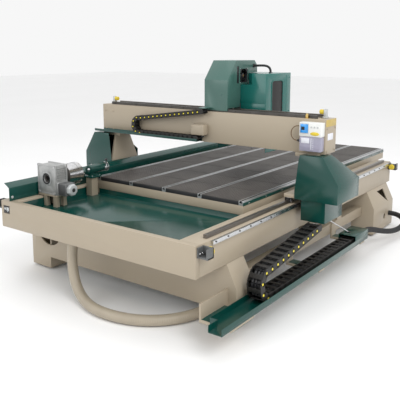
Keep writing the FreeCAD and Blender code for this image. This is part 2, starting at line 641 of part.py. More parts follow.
HOSE_RADIUS = 33
HOSE_ROUTE = [
    (-200, -1432, 440), (-200, -1432, 390), (-211, -1440, 310), (-206, -1446, 225), (-182, -1456, 145),
    (-132, -1474, 82), (-52, -1502, 45), (50, -1540, 37), (165, -1556, 35), (285, -1548, 35.5),
    (400, -1514, 35), (500, -1452, 35.5), (578, -1366, 35), (630, -1262, 35.5), (650, -1150, 35),
    (640, -1040, 35), (600, -930, 35),
]
CONDUIT_RADIUS = 22
CONDUIT_ROUTE = [
    (1010, 446, 190), (1010, 500, 190), (1014, 575, 178), (1022, 660, 154), (1034, 750, 126),
    (1050, 845, 100), (1068, 940, 82), (1082, 1035, 74), (1088, 1125, 78), (1085, 1210, 90),
    (1062, 1265, 104), (1020, 1307, 118), (965, 1330, 128), (905, 1330, 128),
]
OIL_RADIUS = 3
OIL_ROUTE = [
    (855, -372, 1092), (836, -372, 1092), (815, -374, 1088), (798, -376, 1076), (788, -378, 1058),
    (786, -378, 1037), (790, -377, 1017), (802, -375, 1001), (818, -374, 994), (832, -374, 994),
]
HEAD_RADIUS = 9
HEAD_ROUTE = [
    (235, 40, 1469), (265, 40, 1469), (300, 44, 1471), (338, 52, 1469), (359, 58, 1458),
    (370, 62, 1438), (370, 62, 1415),
]


def hose_fittings():
    """The port under the tray and the coupling on the hose's free end."""
    flange = rod("port_flange", "Z", ("-200", "-1432", "tray_level - 10"), "56", "10")
    pipe = rod("port_pipe", "Z", ("-200", "-1432", "440"), "40", "tray_level - 450")
    bore = rod("port_bore", "Z", ("-200", "-1432", "435"), "30", "tray_level - 430")
    port = cut("hose_port", join("port_solid", flange, pipe), bore)
    turn = FreeCAD.Rotation(FreeCAD.Vector(0, 0, 1), FreeCAD.Vector(-40, 110, 0))
    rings = []
    for tag, ahead, rad, length in (("sleeve", 0, 34.5, 60), ("collar", 60, 34.8, 18)):
        ring = doc.addObject("Part::Cylinder", "coupling_" + tag)
        bind(ring, "Radius", str(rad))
        bind(ring, "Height", str(length))
        step = turn.multVec(FreeCAD.Vector(0, 0, ahead))
        ring.Placement = FreeCAD.Placement(FreeCAD.Vector(600 + step.x, -930 + step.y, 35), turn)
        rings.append(ring)
    mouth = doc.addObject("Part::Cylinder", "coupling_mouth")
    bind(mouth, "Radius", "28")
    bind(mouth, "Height", "70")
    step = turn.multVec(FreeCAD.Vector(0, 0, 20))
    mouth.Placement = FreeCAD.Placement(FreeCAD.Vector(600 + step.x, -930 + step.y, 35), turn)
    coupling = cut("hose_coupling", join("coupling_solid", *rings), mouth)
    node("hose_fittings", group("hose_fittings", port, coupling))


def cords():
    round_tube("vacuum_hose", HOSE_ROUTE, HOSE_RADIUS)
    round_tube("rear_conduit", CONDUIT_ROUTE, CONDUIT_RADIUS)
    round_tube("lube_tube", OIL_ROUTE, OIL_RADIUS)
    round_tube("head_conduit", HEAD_ROUTE, HEAD_RADIUS)


# Gantry -----------------------------------------------------------------------------------------------

def gantry_beam():
    xs = ("-gantry_half", "gantry_half")
    ys = ("gantry_near", "gantry_near + gantry_deep")
    zs = ("gantry_low", "gantry_low + gantry_high")
    outer = slab("gantry_outer", xs, ys, zs)
    inner = slab("gantry_inner", (xs[0] + " + 10", xs[1] + " - 10"), (ys[0] + " + wall", ys[1] + " - wall"),
                 (zs[0] + " + wall", zs[1] + " - wall"))
    ways = [rod("gantry_way_" + word, "Z", ("%d * 700" % side, "gantry_near + 80", "gantry_low - 5"), "22", "20")
            for word, side in SIDES]
    node("gantry_beam", cut("gantry_beam", outer, inner, *ways))


def gantry_feet():
    """Each foot: saddle plate on the rail blocks, upright plate, top flange and drive bracket."""
    feet = []
    saddle_low = "beam_top + guide_high"
    saddle_top = "beam_top + guide_high + saddle_thick"
    for word, side in SIDES:
        saddle = slab("saddle_" + word, sided(side, "saddle_in", "saddle_out"), ("foot_near", "foot_far"),
                      (saddle_low, saddle_top))
        low, high = sided(side, "foot_in", "foot_in + foot_thick")
        upright = prism("upright_" + word, "YZ", [
            ("foot_near", saddle_top), ("foot_far", saddle_top), ("-193", "gantry_low - saddle_thick"),
            ("-358", "gantry_low - saddle_thick")], low, high)
        flange = slab("foot_flange_" + word, sided(side, "810", "985"), ("-358", "gantry_near + gantry_deep"),
                      ("gantry_low - saddle_thick", "gantry_low"))
        bracket = slab("drive_bracket_" + word, sided(side, "foot_in + foot_thick", "foot_in + foot_thick + plate"),
                       ("drive_y - 47", "drive_y + 47"), ("470", saddle_low))
        start = sided(side, "foot_in", "foot_in + 40")[0]
        bore = rod("drive_bore_" + word, "X", (start, "drive_y", pinion_z()), "12", "40")
        feet.append(cut("foot_" + word, join("foot_solid_" + word, saddle, upright, flange, bracket), bore))
    arm = slab("chain_arm", ("chain_x + 5", "chain_x + 60"), ("-400", "-340"), ("457", "beam_top + guide_high"))
    feet[1] = join("foot_right_arm", feet[1], arm)
    node("gantry_feet", group("gantry_feet", *feet))


def pinion_z():
    """The pinion's axis, under the rack's downward teeth."""
    return "beam_top - 3 - rack_tall - mesh_gap - pinion_rad"


def guide_block(name, middle, across, length_axis, rail_base, outward):
    """A rail block: a box with a channel for its rail.

    middle is the block's middle along the rail, across the rail's middle, rail_base the face that
    the rail is screwed to and outward +1 or -1 along the rail's own height.
    """
    gap = "0.2"
    reach = [("%s + %d * block_gap" % (rail_base, outward)), ("%s + %d * guide_high" % (rail_base, outward))]
    groove = [("%s - %d * 2" % (rail_base, outward)), ("%s + %d * (rail_high + %s)" % (rail_base, outward, gap))]
    if outward < 0:
        reach.reverse()
        groove.reverse()
    along = (middle + " - block_len / 2", middle + " + block_len / 2")
    longer = (along[0] + " - 1", along[1] + " + 1")
    wide = (across + " - block_wide / 2", across + " + block_wide / 2")
    slot = (across + " - rail_wide / 2 - " + gap, across + " + rail_wide / 2 + " + gap)
    order = {"Y": lambda a, w, h: (w, a, h), "X": lambda a, w, h: (a, w, h),
             "X_side": lambda a, w, h: (a, h, w), "Z": lambda a, w, h: (w, h, a)}[length_axis]
    body = slab(name + "_body", *order(along, wide, tuple(reach)))
    channel = slab(name + "_channel", *order(longer, slot, tuple(groove)))
    return cut(name, body, channel)


def y_blocks():
    blocks = [guide_block("y_block_%s_%d" % (word, i), y, "%d * rail_x" % side, "Y", "beam_top", 1)
              for word, side in SIDES for i, y in enumerate(("foot_near + 46", "foot_far - 46"))]
    node("y_blocks", group("y_blocks", *blocks))


def cover_shape(tag, inset, side):
    """The drive cover's outline as a solid, smaller by the inset and open where the cover is open."""
    s = "" if side > 0 else "-"
    inner = "876.5" if inset == "0" else "870"
    low = "cover_low" if inset == "0" else "cover_low - 5"
    front = [(s + "(%s)" % x, z) for x, z in (
        (inner, low), ("cover_out - %s" % inset, low), ("cover_out - %s" % inset, "735 - %s / 2" % inset),
        ("1043 - %s / 2" % inset, "905 - %s" % inset), (inner, "905 - %s" % inset))]
    sides = [("cover_near + %s" % inset, low), ("cover_far - %s" % inset, low),
             ("cover_far - %s" % inset, "735 - %s / 2" % inset), ("-290 - %s / 2" % inset, "905 - %s" % inset),
             ("cover_near + %s" % inset, "905 - %s" % inset)]
    across = prism(tag + "_front", "XZ", front, "cover_near + " + inset, "cover_far - " + inset)
    low_x, high_x = sided(side, inner, "cover_out - " + inset)
    along = prism(tag + "_side", "YZ", sides, low_x, high_x)
    return common(tag, across, along)


def foot_covers():
    """Folded sheet covers over the gantry's drives, each with a lower box round its motor."""
    covers = []
    for word, side in SIDES:
        hood = cut("hood_" + word, cover_shape("hood_out_" + word, "0", side),
                   cover_shape("hood_in_" + word, "skin", side),
                   slab("hood_flange_" + word, sided(side, "850", "986"), ("-359", "-150"), ("884", "910")))
        flap_points = [("(%s)" % x if side > 0 else "-(%s)" % x, z) for x, z in (
            ("876.5", "cover_low"), ("876.5", "884"), ("872", "884"), ("846", "660"), ("846", "cover_low"))]
        flap = prism("flap_" + word, "XZ", flap_points, "cover_near", "cover_near + skin")
        box = slab("motor_box_" + word, sided(side, "889", "1062"), ("-408", "-132"), ("463", "cover_low"))
        room = slab("motor_room_" + word, sided(side, "885", "1060"), ("-406", "-134"), ("465", "cover_low + 5"))
        slit = slab("arm_slit_" + word, sided(side, "chain_x + 3", "chain_x + 62"), ("-402", "-338"),
                    ("460", "468"))
        lower = cut("motor_cover_" + word, box, room, slit)
        shelf = cut("shelf_" + word,
                    slab("shelf_plate_" + word, sided(side, "889", "cover_out"), ("cover_near", "cover_far"),
                         ("cover_low", "cover_low + 2")),
                    slab("shelf_hole_" + word, sided(side, "885", "1060"), ("-406", "-134"),
                         ("cover_low - 5", "cover_low + 5")))
        trimmed = cut("shelf_clear_" + word, shelf,
                      slab("shelf_saddle_" + word, sided(side, "760", "saddle_out + 0.5"),
                           ("foot_near - 0.5", "foot_far + 0.5"), ("cover_low - 5", "cover_low + 40")))
        covers.append(join("foot_cover_" + word, hood, flap, lower, trimmed))
    node("foot_covers", group("foot_covers", *covers))


def y_drives():
    motors = []
    face = "foot_in + foot_thick + plate"
    for word, side in SIDES:
        low = sided(side, face, face + " + 56")[0]
        reducer = rod("y_reducer_" + word, "X", (low, "drive_y", pinion_z()), "35", "56")
        body = slab("y_motor_body_" + word, sided(side, face + " + 56", face + " + 164"),
                    ("drive_y - 40", "drive_y + 40"), (pinion_z() + " - 40", pinion_z() + " + 40"))
        motors.append(join("y_motor_" + word, reducer, body))
        gear_low = sided(side, "frame_half + 1.5", "frame_half + rack_thick")[0]
        gear = rod("y_gear_" + word, "X", (gear_low, "drive_y", pinion_z()), "pinion_rad", "rack_thick - 1.5")
        shaft_low = sided(side, "frame_half + rack_thick", face)[0]
        shaft = rod("y_shaft_" + word, "X", (shaft_low, "drive_y", pinion_z()), "10",
                    face + " - frame_half - rack_thick - 0.3")
        if side < 0:
            put(shaft, "-(%s) + 0.3" % face, "drive_y", pinion_z())
        node("y_pinion_" + word, join("y_pinion_" + word, gear, shaft))
    node("y_motors", group("y_motors", *motors))


def x_guides():
    top = "gantry_low + gantry_high"
    far = "gantry_near + gantry_deep"
    upper = slab("x_rail_upper", ("-940", "940"), ("-205 - rail_wide / 2", "-205 + rail_wide / 2"),
                 (top, top + " + rail_high"))
    lower = slab("x_rail_lower", ("-940", "940"), (far, far + " + rail_high"),
                 ("945 - rail_wide / 2", "945 + rail_wide / 2"))
    node("x_rails", group("x_rails", upper, lower))
    node("x_rack", slab("x_rack", ("-940", "940"), ("-313", "-291"), (top, top + " + rail_high")))


def x_stops():
    stops = []
    top = "gantry_low + gantry_high"
    for word, side in SIDES:
        stops.append(slab("x_post_" + word, sided(side, "955", "985"), ("-262", "-228"), (top, top + " + 62")))
        start = sided(side, "928", "955")[0]
        stops.append(rod("x_bumper_" + word, "X", (start, "-245", top + " + 42"), "16", "27"))
    node("x_stops", group("x_stops", *stops))


def lubricator():
    """Oil pump case with its tank below, on the gantry's near face."""
    ys = ("gantry_near - 60", "gantry_near")
    case = slab("lube_case", ("855", "1012"), ys, ("1028", "1121"))
    screen = slab("lube_screen", ("864", "922"), ("gantry_near - 62", "gantry_near - 60"), ("1050", "1112"))
    badge = slab("lube_button", ("936", "1000"), ("gantry_near - 64", "gantry_near - 60"), ("1036", "1062"))
    node("lubricator_case", join("lubricator_case", case, screen, badge))
    tank = slab("tank_out", ("857", "1010"), ("gantry_near - 58", "gantry_near - 1"), ("929", "1028"))
    room = slab("tank_in", ("860", "1007"), ("gantry_near - 55", "gantry_near - 4"), ("932", "1030"))
    fitting = rod("tank_fitting", "X", ("832", "gantry_near - 34", "994"), "8", "25")
    node("lubricator_tank", join("lubricator_tank", cut("tank_shell", tank, room), fitting))


def head_chain():
    base = "head_tray_low"
    ys = ("head_chain_y - 6", "gantry_near")
    floor = slab("head_tray_floor", ("-1052", "24"), ys, (base, base + " + 3"))
    lip = slab("head_tray_lip", ("-1052", "24"), (ys[0], ys[0] + " + 2"), (base, base + " + 20"))
    back = slab("head_tray_back", ("-1016", "24"), ("gantry_near - 2", "gantry_near"), (base, base + " + 20"))
    node("head_chain_tray", join("head_chain_tray", floor, lip, back))
    node("head_chain_box", slab("head_chain_box", ("-40", "78"), ("gantry_near - 62", "gantry_near"),
                                (base + " + 47", base + " + 127")))
    face = chain_outline(cell("head_bend_x"), cell("head_tray_low") + 5 + cell("head_chain_half"),
                         cell("head_chain_bend"), cell("head_chain_half"), 20, 62, 8)
    obj = doc.addObject("Part::Feature", "head_chain")
    obj.Shape = face.extrude(FreeCAD.Vector(0, 0, cell("head_chain_wide")))
    upright = FreeCAD.Rotation(FreeCAD.Vector(1, 0, 0), 90)
    far = cell("head_chain_y") + cell("head_chain_wide")
    obj.Placement = FreeCAD.Placement(FreeCAD.Vector(0, far, 0), upright)
    node("head_chain", obj)


# Head -------------------------------------------------------------------------------------------------

def x_saddle():
    """Back plate on the far rail, top plate over the beam and the ball screw's two bearings."""
    back = slab("saddle_back_plate", ("head_mid - 150", "head_mid + 150"), ("saddle_back", "saddle_front"),
                ("915", "1255"))
    top = slab("saddle_top_plate", ("40", "225"), ("-300", "saddle_front"), ("1178", "1193"))
    shelf = slab("saddle_motor_shelf", ("head_mid - 55", "head_mid + 55"), ("saddle_back", "slide_front - 2"),
                 ("1255", "1270"))
    rest = slab("saddle_low_bearing", ("head_mid - 25", "head_mid + 25"), ("saddle_front", "slide_back - 4"),
                ("956", "980"))
    holes = [rod("saddle_screw_hole", "Z", ("head_mid", "screw_y", "940"), "10.1", "50"),
             rod("saddle_shaft_hole", "Z", ("head_mid", "screw_y", "1250"), "12", "30"),
             rod("saddle_pinion_hole", "Z", ("132", "-265.6", "1170"), "14", "30")]
    node("x_saddle", cut("x_saddle", join("saddle_solid", back, top, shelf, rest), *holes))


def head_blocks():
    blocks = [guide_block("x_block_up_%d" % i, x, "-205", "X", "gantry_low + gantry_high", 1)
              for i, x in enumerate(("84", "181"))]
    blocks += [guide_block("x_block_low_%d" % i, x, "945", "X_side", "gantry_near + gantry_deep", 1)
               for i, x in enumerate(("head_mid - 105", "head_mid + 105"))]
    blocks += [guide_block("z_block_%d_%d" % (i, j), z, x, "Z", "slide_back", -1)
               for i, x in enumerate(("head_mid - 110", "head_mid + 110"))
               for j, z in enumerate(("1010", "1098"))]
    shims = [slab("z_shim_%d_%d" % (i, j), (x + " - block_wide / 2", x + " + block_wide / 2"),
                  ("saddle_front", "slide_back - guide_high"), (z + " - block_len / 2", z + " + block_len / 2"))
             for i, x in enumerate(("head_mid - 110", "head_mid + 110"))
             for j, z in enumerate(("1010", "1098"))]
    node("head_blocks", group("head_blocks", *blocks, *shims))


def near_profile(inset):
    """Side outline of the tall cover: sloping front, a back part reaching over the spindle cover."""
    return [
        ("head_near + %s" % inset, "1166"), ("head_near + %s" % inset, "1370"), ("-205", "near_top - %s" % inset),
        ("52", "near_top - %s" % inset), ("90 - %s" % inset, "1472"), ("90 - %s" % inset, "cover_top + 3 + %s" % inset),
        ("fan_back - %s" % inset, "cover_top + 3 + %s" % inset), ("fan_back - %s" % inset, "fan_low + %s" % inset),
        ("head_back - 3 - %s" % inset, "fan_low + %s" % inset), ("head_back - 3 - %s" % inset, "1166")]


def head_cover():
    outer = prism("near_outer", "YZ", near_profile("0"), "head_left", "near_right")
    inner = prism("near_inner", "YZ", near_profile("skin"), "head_left + skin", "near_right - skin")
    mouth = slab("near_mouth", ("head_left + skin", "near_right - skin"), ("head_near + skin", "head_back - 5"),
                 ("1160", "1170"))
    sill = slab("near_sill", ("head_left - 5", "near_right + 5"), ("head_back - 6", "head_back"), ("1160", "1197"))
    slot = slab("near_slot", ("near_right - 10", "near_right + 5"), ("-196", "-168"), ("1342", "1467"))
    vent = slab("near_vent", ("near_right - 10", "near_right + 5"), ("-152", "-48"), ("1345", "1449"))
    front = slab("near_front", ("head_left", "near_right"), ("head_near", "head_near + skin"), ("1147", "1168"))
    arm = slab("near_chain_arm", ("36", "96"), ("head_chain_y + 4", "head_near"), ("1164", "1170"))
    shell = cut("near_shell", outer, inner, mouth, sill, slot, vent)
    node("head_cover", join("head_cover", shell, front, arm))


def spindle_cover():
    """Box cover round the spindle slide, open below, with a tall round-topped side window."""
    xs = ("head_left", "head_right")
    ys = ("head_back", "head_far")
    outer = slab("spin_outer", xs, ys, ("cover_base", "cover_top"))
    inner = slab("spin_inner", (xs[0] + " + skin", xs[1] + " - skin"), (ys[0] + " + skin", ys[1] + " - skin"),
                 ("cover_base - 5", "cover_top - skin"))
    back = slab("spin_back_open", (xs[0] + " - 5", xs[1] + " + 5"), ("head_back - 5", "head_back + skin"),
                ("cover_base - 5", "1196"))
    pane_low = slab("spin_window", ("head_right - 5", "head_right + 5"), ("-52", "110"), ("870", "1335"))
    pane_top = slab("spin_window_top", ("head_right - 5", "head_right + 5"), ("-27", "85"), ("1330", "1360"))
    pane_near = rod("spin_window_near", "X", ("head_right - 5", "-27", "1335"), "25", "10")
    pane_far = rod("spin_window_far", "X", ("head_right - 5", "85", "1335"), "25", "10")
    wire = rod("spin_wire_hole", "Z", ("370", "62", "cover_top - 5"), "9", "10")
    notch = slab("spin_notch", ("head_left - 5", "near_right + 3"), ("head_back - 5", "fan_back + 3"),
                 ("fan_low - 3", "cover_top + 5"))
    step = slab("spin_step", ("near_right", "330"), ("head_back - 5", "fan_back + 3"), ("fan_low - 3", "cover_top + 5"))
    walls = [slab("spin_step_floor", ("near_right + 3", "330"), ("head_back", "fan_back + 3"),
                  ("fan_low - 3", "fan_low - 1")),
             slab("spin_step_side", ("330", "332"), ("head_back", "fan_back + 5"), ("fan_low - 3", "cover_top")),
             slab("spin_step_back", ("near_right + 3", "332"), ("fan_back + 3", "fan_back + 5"),
                  ("fan_low - 3", "cover_top"))]
    shell = join("spin_stepped", cut("spin_shell", outer, inner, back, pane_low, pane_top, pane_near, pane_far,
                                     wire, notch, step), *walls)
    panel = slab("side_window", ("head_right - 6", "head_right - skin"), ("-60", "118"), ("862", "1366"))
    node("spindle_cover", group("spindle_cover", shell, panel))


def head_drives():
    reducer = slab("x_reducer", ("98", "166"), ("-299.6", "-231.6"), ("1193", "1246"))
    body = slab("x_motor_body", ("92", "172"), ("-305.6", "-225.6"), ("1246", "1354"))
    upper = slab("z_motor_body", ("head_mid - 38", "head_mid + 38"), ("-139", "-64"), ("1270", "fan_low - 4"))
    node("head_motors", group("head_motors", join("x_motor", reducer, body), upper))
    gear = rod("x_gear", "Z", ("132", "-265.6", "1140"), "25", "20")
    shaft = rod("x_gear_shaft", "Z", ("132", "-265.6", "1160"), "10", "32.7")
    node("x_pinion", join("x_pinion", gear, shaft))
    thread = rod("screw_thread", "Z", ("head_mid", "screw_y", "957"), "10", "298")
    neck = rod("screw_neck", "Z", ("head_mid", "screw_y", "1255"), "8", "14.7")
    node("ball_screw", join("ball_screw", thread, neck))


def head_fan():
    """Fan in the tall cover's side: a square frame and a turning rotor."""
    xs = ("near_right - 22", "near_right - skin")
    frame = slab("fan_square", xs, ("-156", "-44"), ("1341", "1453"))
    round_way = rod("fan_way", "X", ("near_right - 30", "-100", "1397"), "50", "40")
    rim = cut("fan_rim", frame, round_way)
    spokes = [slab("fan_spoke_%d" % i, ("near_right - 22", "near_right - 19"), ys, zs)
              for i, (ys, zs) in enumerate(((("-152", "-48"), ("1393", "1401")), (("-104", "-96"), ("1345", "1449"))))]
    node("fan_frame", join("fan_frame", rim, *spokes))
    hub = rod("fan_hub", "X", ("near_right - 18.5", "-100", "1397"), "18", "12")
    blades = []
    for i in range(7):
        blade = doc.addObject("Part::Box", "fan_blade_%d" % i)
        bind(blade, "Length", "8")
        bind(blade, "Width", "9")
        bind(blade, "Height", "46")
        turn = FreeCAD.Rotation(FreeCAD.Vector(1, 0, 0), 360 / 7 * i)
        corner = turn.multVec(FreeCAD.Vector(0, -4.5, 0))
        blade.Placement = FreeCAD.Placement(FreeCAD.Vector(), turn)
        put(blade, "near_right - 16.5", "-100 + %.4f" % corner.y, "1397 + %.4f" % corner.z)
        blades.append(blade)
    node("fan_rotor", join("fan_rotor", hub, *blades))


# Spindle slide ------------------------------------------------------------------------------------------

def z_plate():
    """Slide plate, notched for the motor above, with its two rails and the ball nut."""
    plate = slab("slide_plate", ("head_mid - 140", "head_mid + 140"), ("slide_back", "slide_front"),
                 ("966", "fan_low - 4"))
    notch = slab("slide_notch", ("head_mid - 62", "head_mid + 62"), ("slide_back - 5", "slide_front + 5"),
                 ("1246", "1350"))
    rails = [slab("z_rail_" + word, ("head_mid + %d * 110 - rail_wide / 2" % side,
                                     "head_mid + %d * 110 + rail_wide / 2" % side),
                  ("slide_back - rail_high", "slide_back"), ("966", "fan_low - 4")) for word, side in SIDES]
    nut_block = slab("nut_block", ("head_mid - 25", "head_mid + 25"), ("screw_y - 18", "slide_back"),
                     ("1176", "1236"))
    nut_bore = rod("nut_bore", "Z", ("head_mid", "screw_y", "1170"), "10.1", "70")
    body = join("slide_joined", cut("slide_notched", plate, notch), cut("nut", nut_block, nut_bore))
    node("z_plate", group("z_plate", body, *rails))


def spindle():
    axis = ("head_mid", "spindle_y")
    clamp = slab("spindle_clamp", ("head_mid - 75", "head_mid + 75"), ("slide_front", "spindle_y + 75"),
                 ("1010", "1150"))
    clamp_bore = rod("clamp_bore", "Z", (*axis, "1005"), "spindle_rad", "150")
    motor = rod("spindle_motor", "Z", (*axis, "nose_low + 30"), "spindle_rad", "300")
    nose = rod("spindle_nose", "Z", (*axis, "nose_low"), "40", "30", tip="spindle_rad - 3")
    top = slab("spindle_top", ("head_mid - 50", "head_mid + 50"), ("spindle_y - 50", "spindle_y + 50"),
               ("1310", "1360"))
    bore = rod("spindle_bore", "Z", (*axis, "nose_low - 5"), "20.1", "60")
    node("spindle_body", group("spindle_body", cut("clamp", clamp, clamp_bore),
                               cut("spindle_case", join("spindle_solid", motor, nose, top), bore)))
    taper = rod("holder_shank", "Z", (*axis, "nose_low - 1"), "20", "50")
    collar = rod("holder_collar", "Z", (*axis, "nose_low - 21"), "25", "20")
    nut = rod("collet_nut", "Z", (*axis, "nose_low - 62"), "24", "41")
    bit = rod("router_bit", "Z", (*axis, "tool_tip"), "6", "nose_low - 62 - tool_tip")
    node("tool_holder", join("tool_holder", taper, collar, nut, bit))


BUILDERS = (
    side_beams, front_apron, rear_cross_beam, front_leg_frame, rear_leg_frame, tie_rails, levelling_feet,
    tray_sheet, table_frame, table_top, y_guides, y_stops, rail_guard, rotary_drive, rotary_chuck, tailstock,
    y_chain, chain_tray, tray_end_box, hose_fittings, cords, gantry_beam, gantry_feet, y_blocks, foot_covers,
    y_drives, x_guides, x_stops, lubricator, head_chain, x_saddle, head_blocks, head_cover, spindle_cover,
    head_drives, head_fan, z_plate, spindle,
)
for build in BUILDERS:
    build()
doc.recompute()

for obj in doc.Objects:
    if "Invalid" in obj.State or "Error" in obj.State:
        raise RuntimeError("%s failed: %s" % (obj.Name, obj.State))
for obj in NODES:
    if obj.Shape.isNull() or not obj.Shape.isValid() or not obj.Shape.Solids:
        raise RuntimeError("%s has no valid solid" % obj.Label)

os.makedirs("parts", exist_ok=True)
for obj in NODES:
    obj.Shape.exportStep("parts/%s.step" % obj.Label)
print("%d nodes" % len(NODES))
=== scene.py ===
from collections import namedtuple
import json
import math

import bmesh
import bpy
from mathutils import Matrix, Vector

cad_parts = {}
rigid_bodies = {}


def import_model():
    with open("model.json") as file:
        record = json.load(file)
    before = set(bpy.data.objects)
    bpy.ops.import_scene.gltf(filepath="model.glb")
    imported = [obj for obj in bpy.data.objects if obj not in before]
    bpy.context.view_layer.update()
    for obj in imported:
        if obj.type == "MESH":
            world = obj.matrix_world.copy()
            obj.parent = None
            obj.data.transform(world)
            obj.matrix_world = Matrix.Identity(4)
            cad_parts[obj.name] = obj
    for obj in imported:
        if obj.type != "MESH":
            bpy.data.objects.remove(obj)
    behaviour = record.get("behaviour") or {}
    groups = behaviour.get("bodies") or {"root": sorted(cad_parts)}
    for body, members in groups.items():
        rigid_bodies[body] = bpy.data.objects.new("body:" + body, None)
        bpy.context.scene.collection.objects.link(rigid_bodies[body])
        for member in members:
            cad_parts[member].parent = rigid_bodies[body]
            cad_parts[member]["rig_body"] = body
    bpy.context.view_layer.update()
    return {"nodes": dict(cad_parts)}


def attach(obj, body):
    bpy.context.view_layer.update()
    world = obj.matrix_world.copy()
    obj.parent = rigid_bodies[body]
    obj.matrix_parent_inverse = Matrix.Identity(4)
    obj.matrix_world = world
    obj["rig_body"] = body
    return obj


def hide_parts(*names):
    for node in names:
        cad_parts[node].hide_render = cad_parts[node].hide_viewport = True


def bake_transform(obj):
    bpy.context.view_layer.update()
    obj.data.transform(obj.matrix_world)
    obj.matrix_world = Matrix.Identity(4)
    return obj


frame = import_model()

# Gantry CNC router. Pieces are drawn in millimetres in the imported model's frame, and scaled to
# metres when each one is finished.

MM = 0.001
FULL_TURN = 2 * math.pi
SIDES = (-1, 1)
OUTWARD = {1: "+X", -1: "-X"}
INWARD = {1: "-X", -1: "+X"}
Place = namedtuple("Place", "x y z")


def corners(node):
    """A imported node's low and high corners in millimetres, to a hundredth.

    Only flat faces are read from them, because a round one's reach depends on how it was meshed.
    """
    places = [v.co / MM for v in frame["nodes"][node].data.vertices]
    return [Place(*[round(pick(p[k] for p in places), 2) for k in range(3)]) for pick in (min, max)]


RAIL_LOW, RAIL_HIGH = corners("y_rails")
RACK_LOW, RACK_HIGH = corners("y_racks")
X_RAIL_LOW, X_RAIL_HIGH = corners("x_rails")
X_RACK_LOW, X_RACK_HIGH = corners("x_rack")
BEAM_SIDE = corners("side_beams")[1].x
BEAM_LOW, BEAM_HIGH = corners("gantry_beam")
PANEL_LOW, PANEL_HIGH = corners("vacuum_panels")
T_RAIL_SIDE = corners("t_slot_rails")[1].x
STOP_LOW, STOP_HIGH = corners("y_stops")
X_STOP_LOW, X_STOP_HIGH = corners("x_stops")
GUARD_SIDE = corners("rail_guard")[1].x
GEARBOX_LOW, GEARBOX_HIGH = corners("rotary_gearbox")
CHUCK_FACE = corners("rotary_chuck")[1].y
STEPPER_LOW, STEPPER_HIGH = corners("rotary_motor")
CASE_LOW, CASE_HIGH = corners("lubricator_case")
TANK_LOW, TANK_HIGH = corners("lubricator_tank")
CHAIN_BOX_LOW, CHAIN_BOX_HIGH = corners("head_chain_box")
HEAD_LOW, HEAD_HIGH = corners("head_cover")
SPINDLE_LOW, SPINDLE_HIGH = corners("spindle_cover")
SCREW_LOW, SCREW_HIGH = corners("ball_screw")
FAN_LOW, FAN_HIGH = corners("fan_rotor")


# Materials --------

def surface(name, colour, rough, metal=0.0, mottle=0.05, patch=5.0, grain=700.0, bump=0.08, swing=0.06,
            stretch=(1, 1, 1), wear=0.0, worn=(0.5, 0.5, 0.5), coat=0.0, alpha=None, glow=0.0):
    """A finish with slow colour patches, uneven roughness, fine bump and lighter worn edges."""
    mat = bpy.data.materials.new(name)
    mat.use_nodes = True
    tree = mat.node_tree
    tree.nodes.clear()
    link = tree.links.new

    def node(kind, **values):
        made = tree.nodes.new(kind)
        for key, value in values.items():
            made.inputs[key.replace("_", " ")].default_value = value
        return made

    out = node("ShaderNodeOutputMaterial")
    bsdf = node("ShaderNodeBsdfPrincipled", Metallic=metal)
    bsdf.inputs["Coat Weight"].default_value = coat
    bsdf.inputs["Coat Roughness"].default_value = 0.12
    link(bsdf.outputs["BSDF"], out.inputs["Surface"])
    place = node("ShaderNodeTexCoord")
    scaled = node("ShaderNodeMapping")
    scaled.inputs["Scale"].default_value = stretch
    link(place.outputs["Object"], scaled.inputs["Vector"])

    slow = node("ShaderNodeTexNoise", Scale=patch, Detail=6.0)
    fine = node("ShaderNodeTexNoise", Scale=grain, Detail=3.0)
    uneven = node("ShaderNodeTexNoise", Scale=patch * 7, Detail=4.0)
    for texture in (slow, fine, uneven):
        link(scaled.outputs["Vector"], texture.inputs["Vector"])

    shades = tree.nodes.new("ShaderNodeValToRGB")
    shades.color_ramp.elements[0].position = 0.3
    shades.color_ramp.elements[1].position = 0.7
    for stop, factor in zip(shades.color_ramp.elements, (1 - mottle, 1 + mottle)):
        stop.color = (*[min(1.0, c * factor) for c in colour], 1)
    link(slow.outputs["Fac"], shades.inputs["Fac"])
    last = shades.outputs["Color"]
    if wear:
        edges = node("ShaderNodeNewGeometry")
        rounded = node("ShaderNodeBevel", Radius=0.0014)
        rounded.samples = 4
        facing = tree.nodes.new("ShaderNodeVectorMath")
        facing.operation = "DOT_PRODUCT"
        link(edges.outputs["Normal"], facing.inputs[0])
        link(rounded.outputs["Normal"], facing.inputs[1])
        ramp = tree.nodes.new("ShaderNodeValToRGB")
        ramp.color_ramp.elements[0].position = 0.80
        ramp.color_ramp.elements[0].color = (wear, wear, wear, 1)
        ramp.color_ramp.elements[1].position = 0.98
        ramp.color_ramp.elements[1].color = (0, 0, 0, 1)
        mix = tree.nodes.new("ShaderNodeMix")
        mix.data_type = "RGBA"
        mix.inputs["B"].default_value = (*worn, 1)
        link(facing.outputs["Value"], ramp.inputs["Fac"])
        link(ramp.outputs["Color"], mix.inputs["Factor"])
        link(last, mix.inputs["A"])
        last = mix.outputs["Result"]
    link(last, bsdf.inputs["Base Color"])

    spread = node("ShaderNodeMapRange", To_Min=max(0.03, rough - swing), To_Max=min(1.0, rough + swing))
    link(uneven.outputs["Fac"], spread.inputs["Value"])
    link(spread.outputs["Result"], bsdf.inputs["Roughness"])
    relief = node("ShaderNodeBump", Strength=bump, Distance=0.0004)
    link(fine.outputs["Fac"], relief.inputs["Height"])
    link(relief.outputs["Normal"], bsdf.inputs["Normal"])
    if alpha is not None:
        bsdf.inputs["Alpha"].default_value = alpha
    if glow:
        bsdf.inputs["Emission Color"].default_value = (*colour, 1)
        bsdf.inputs["Emission Strength"].default_value = glow
    return mat


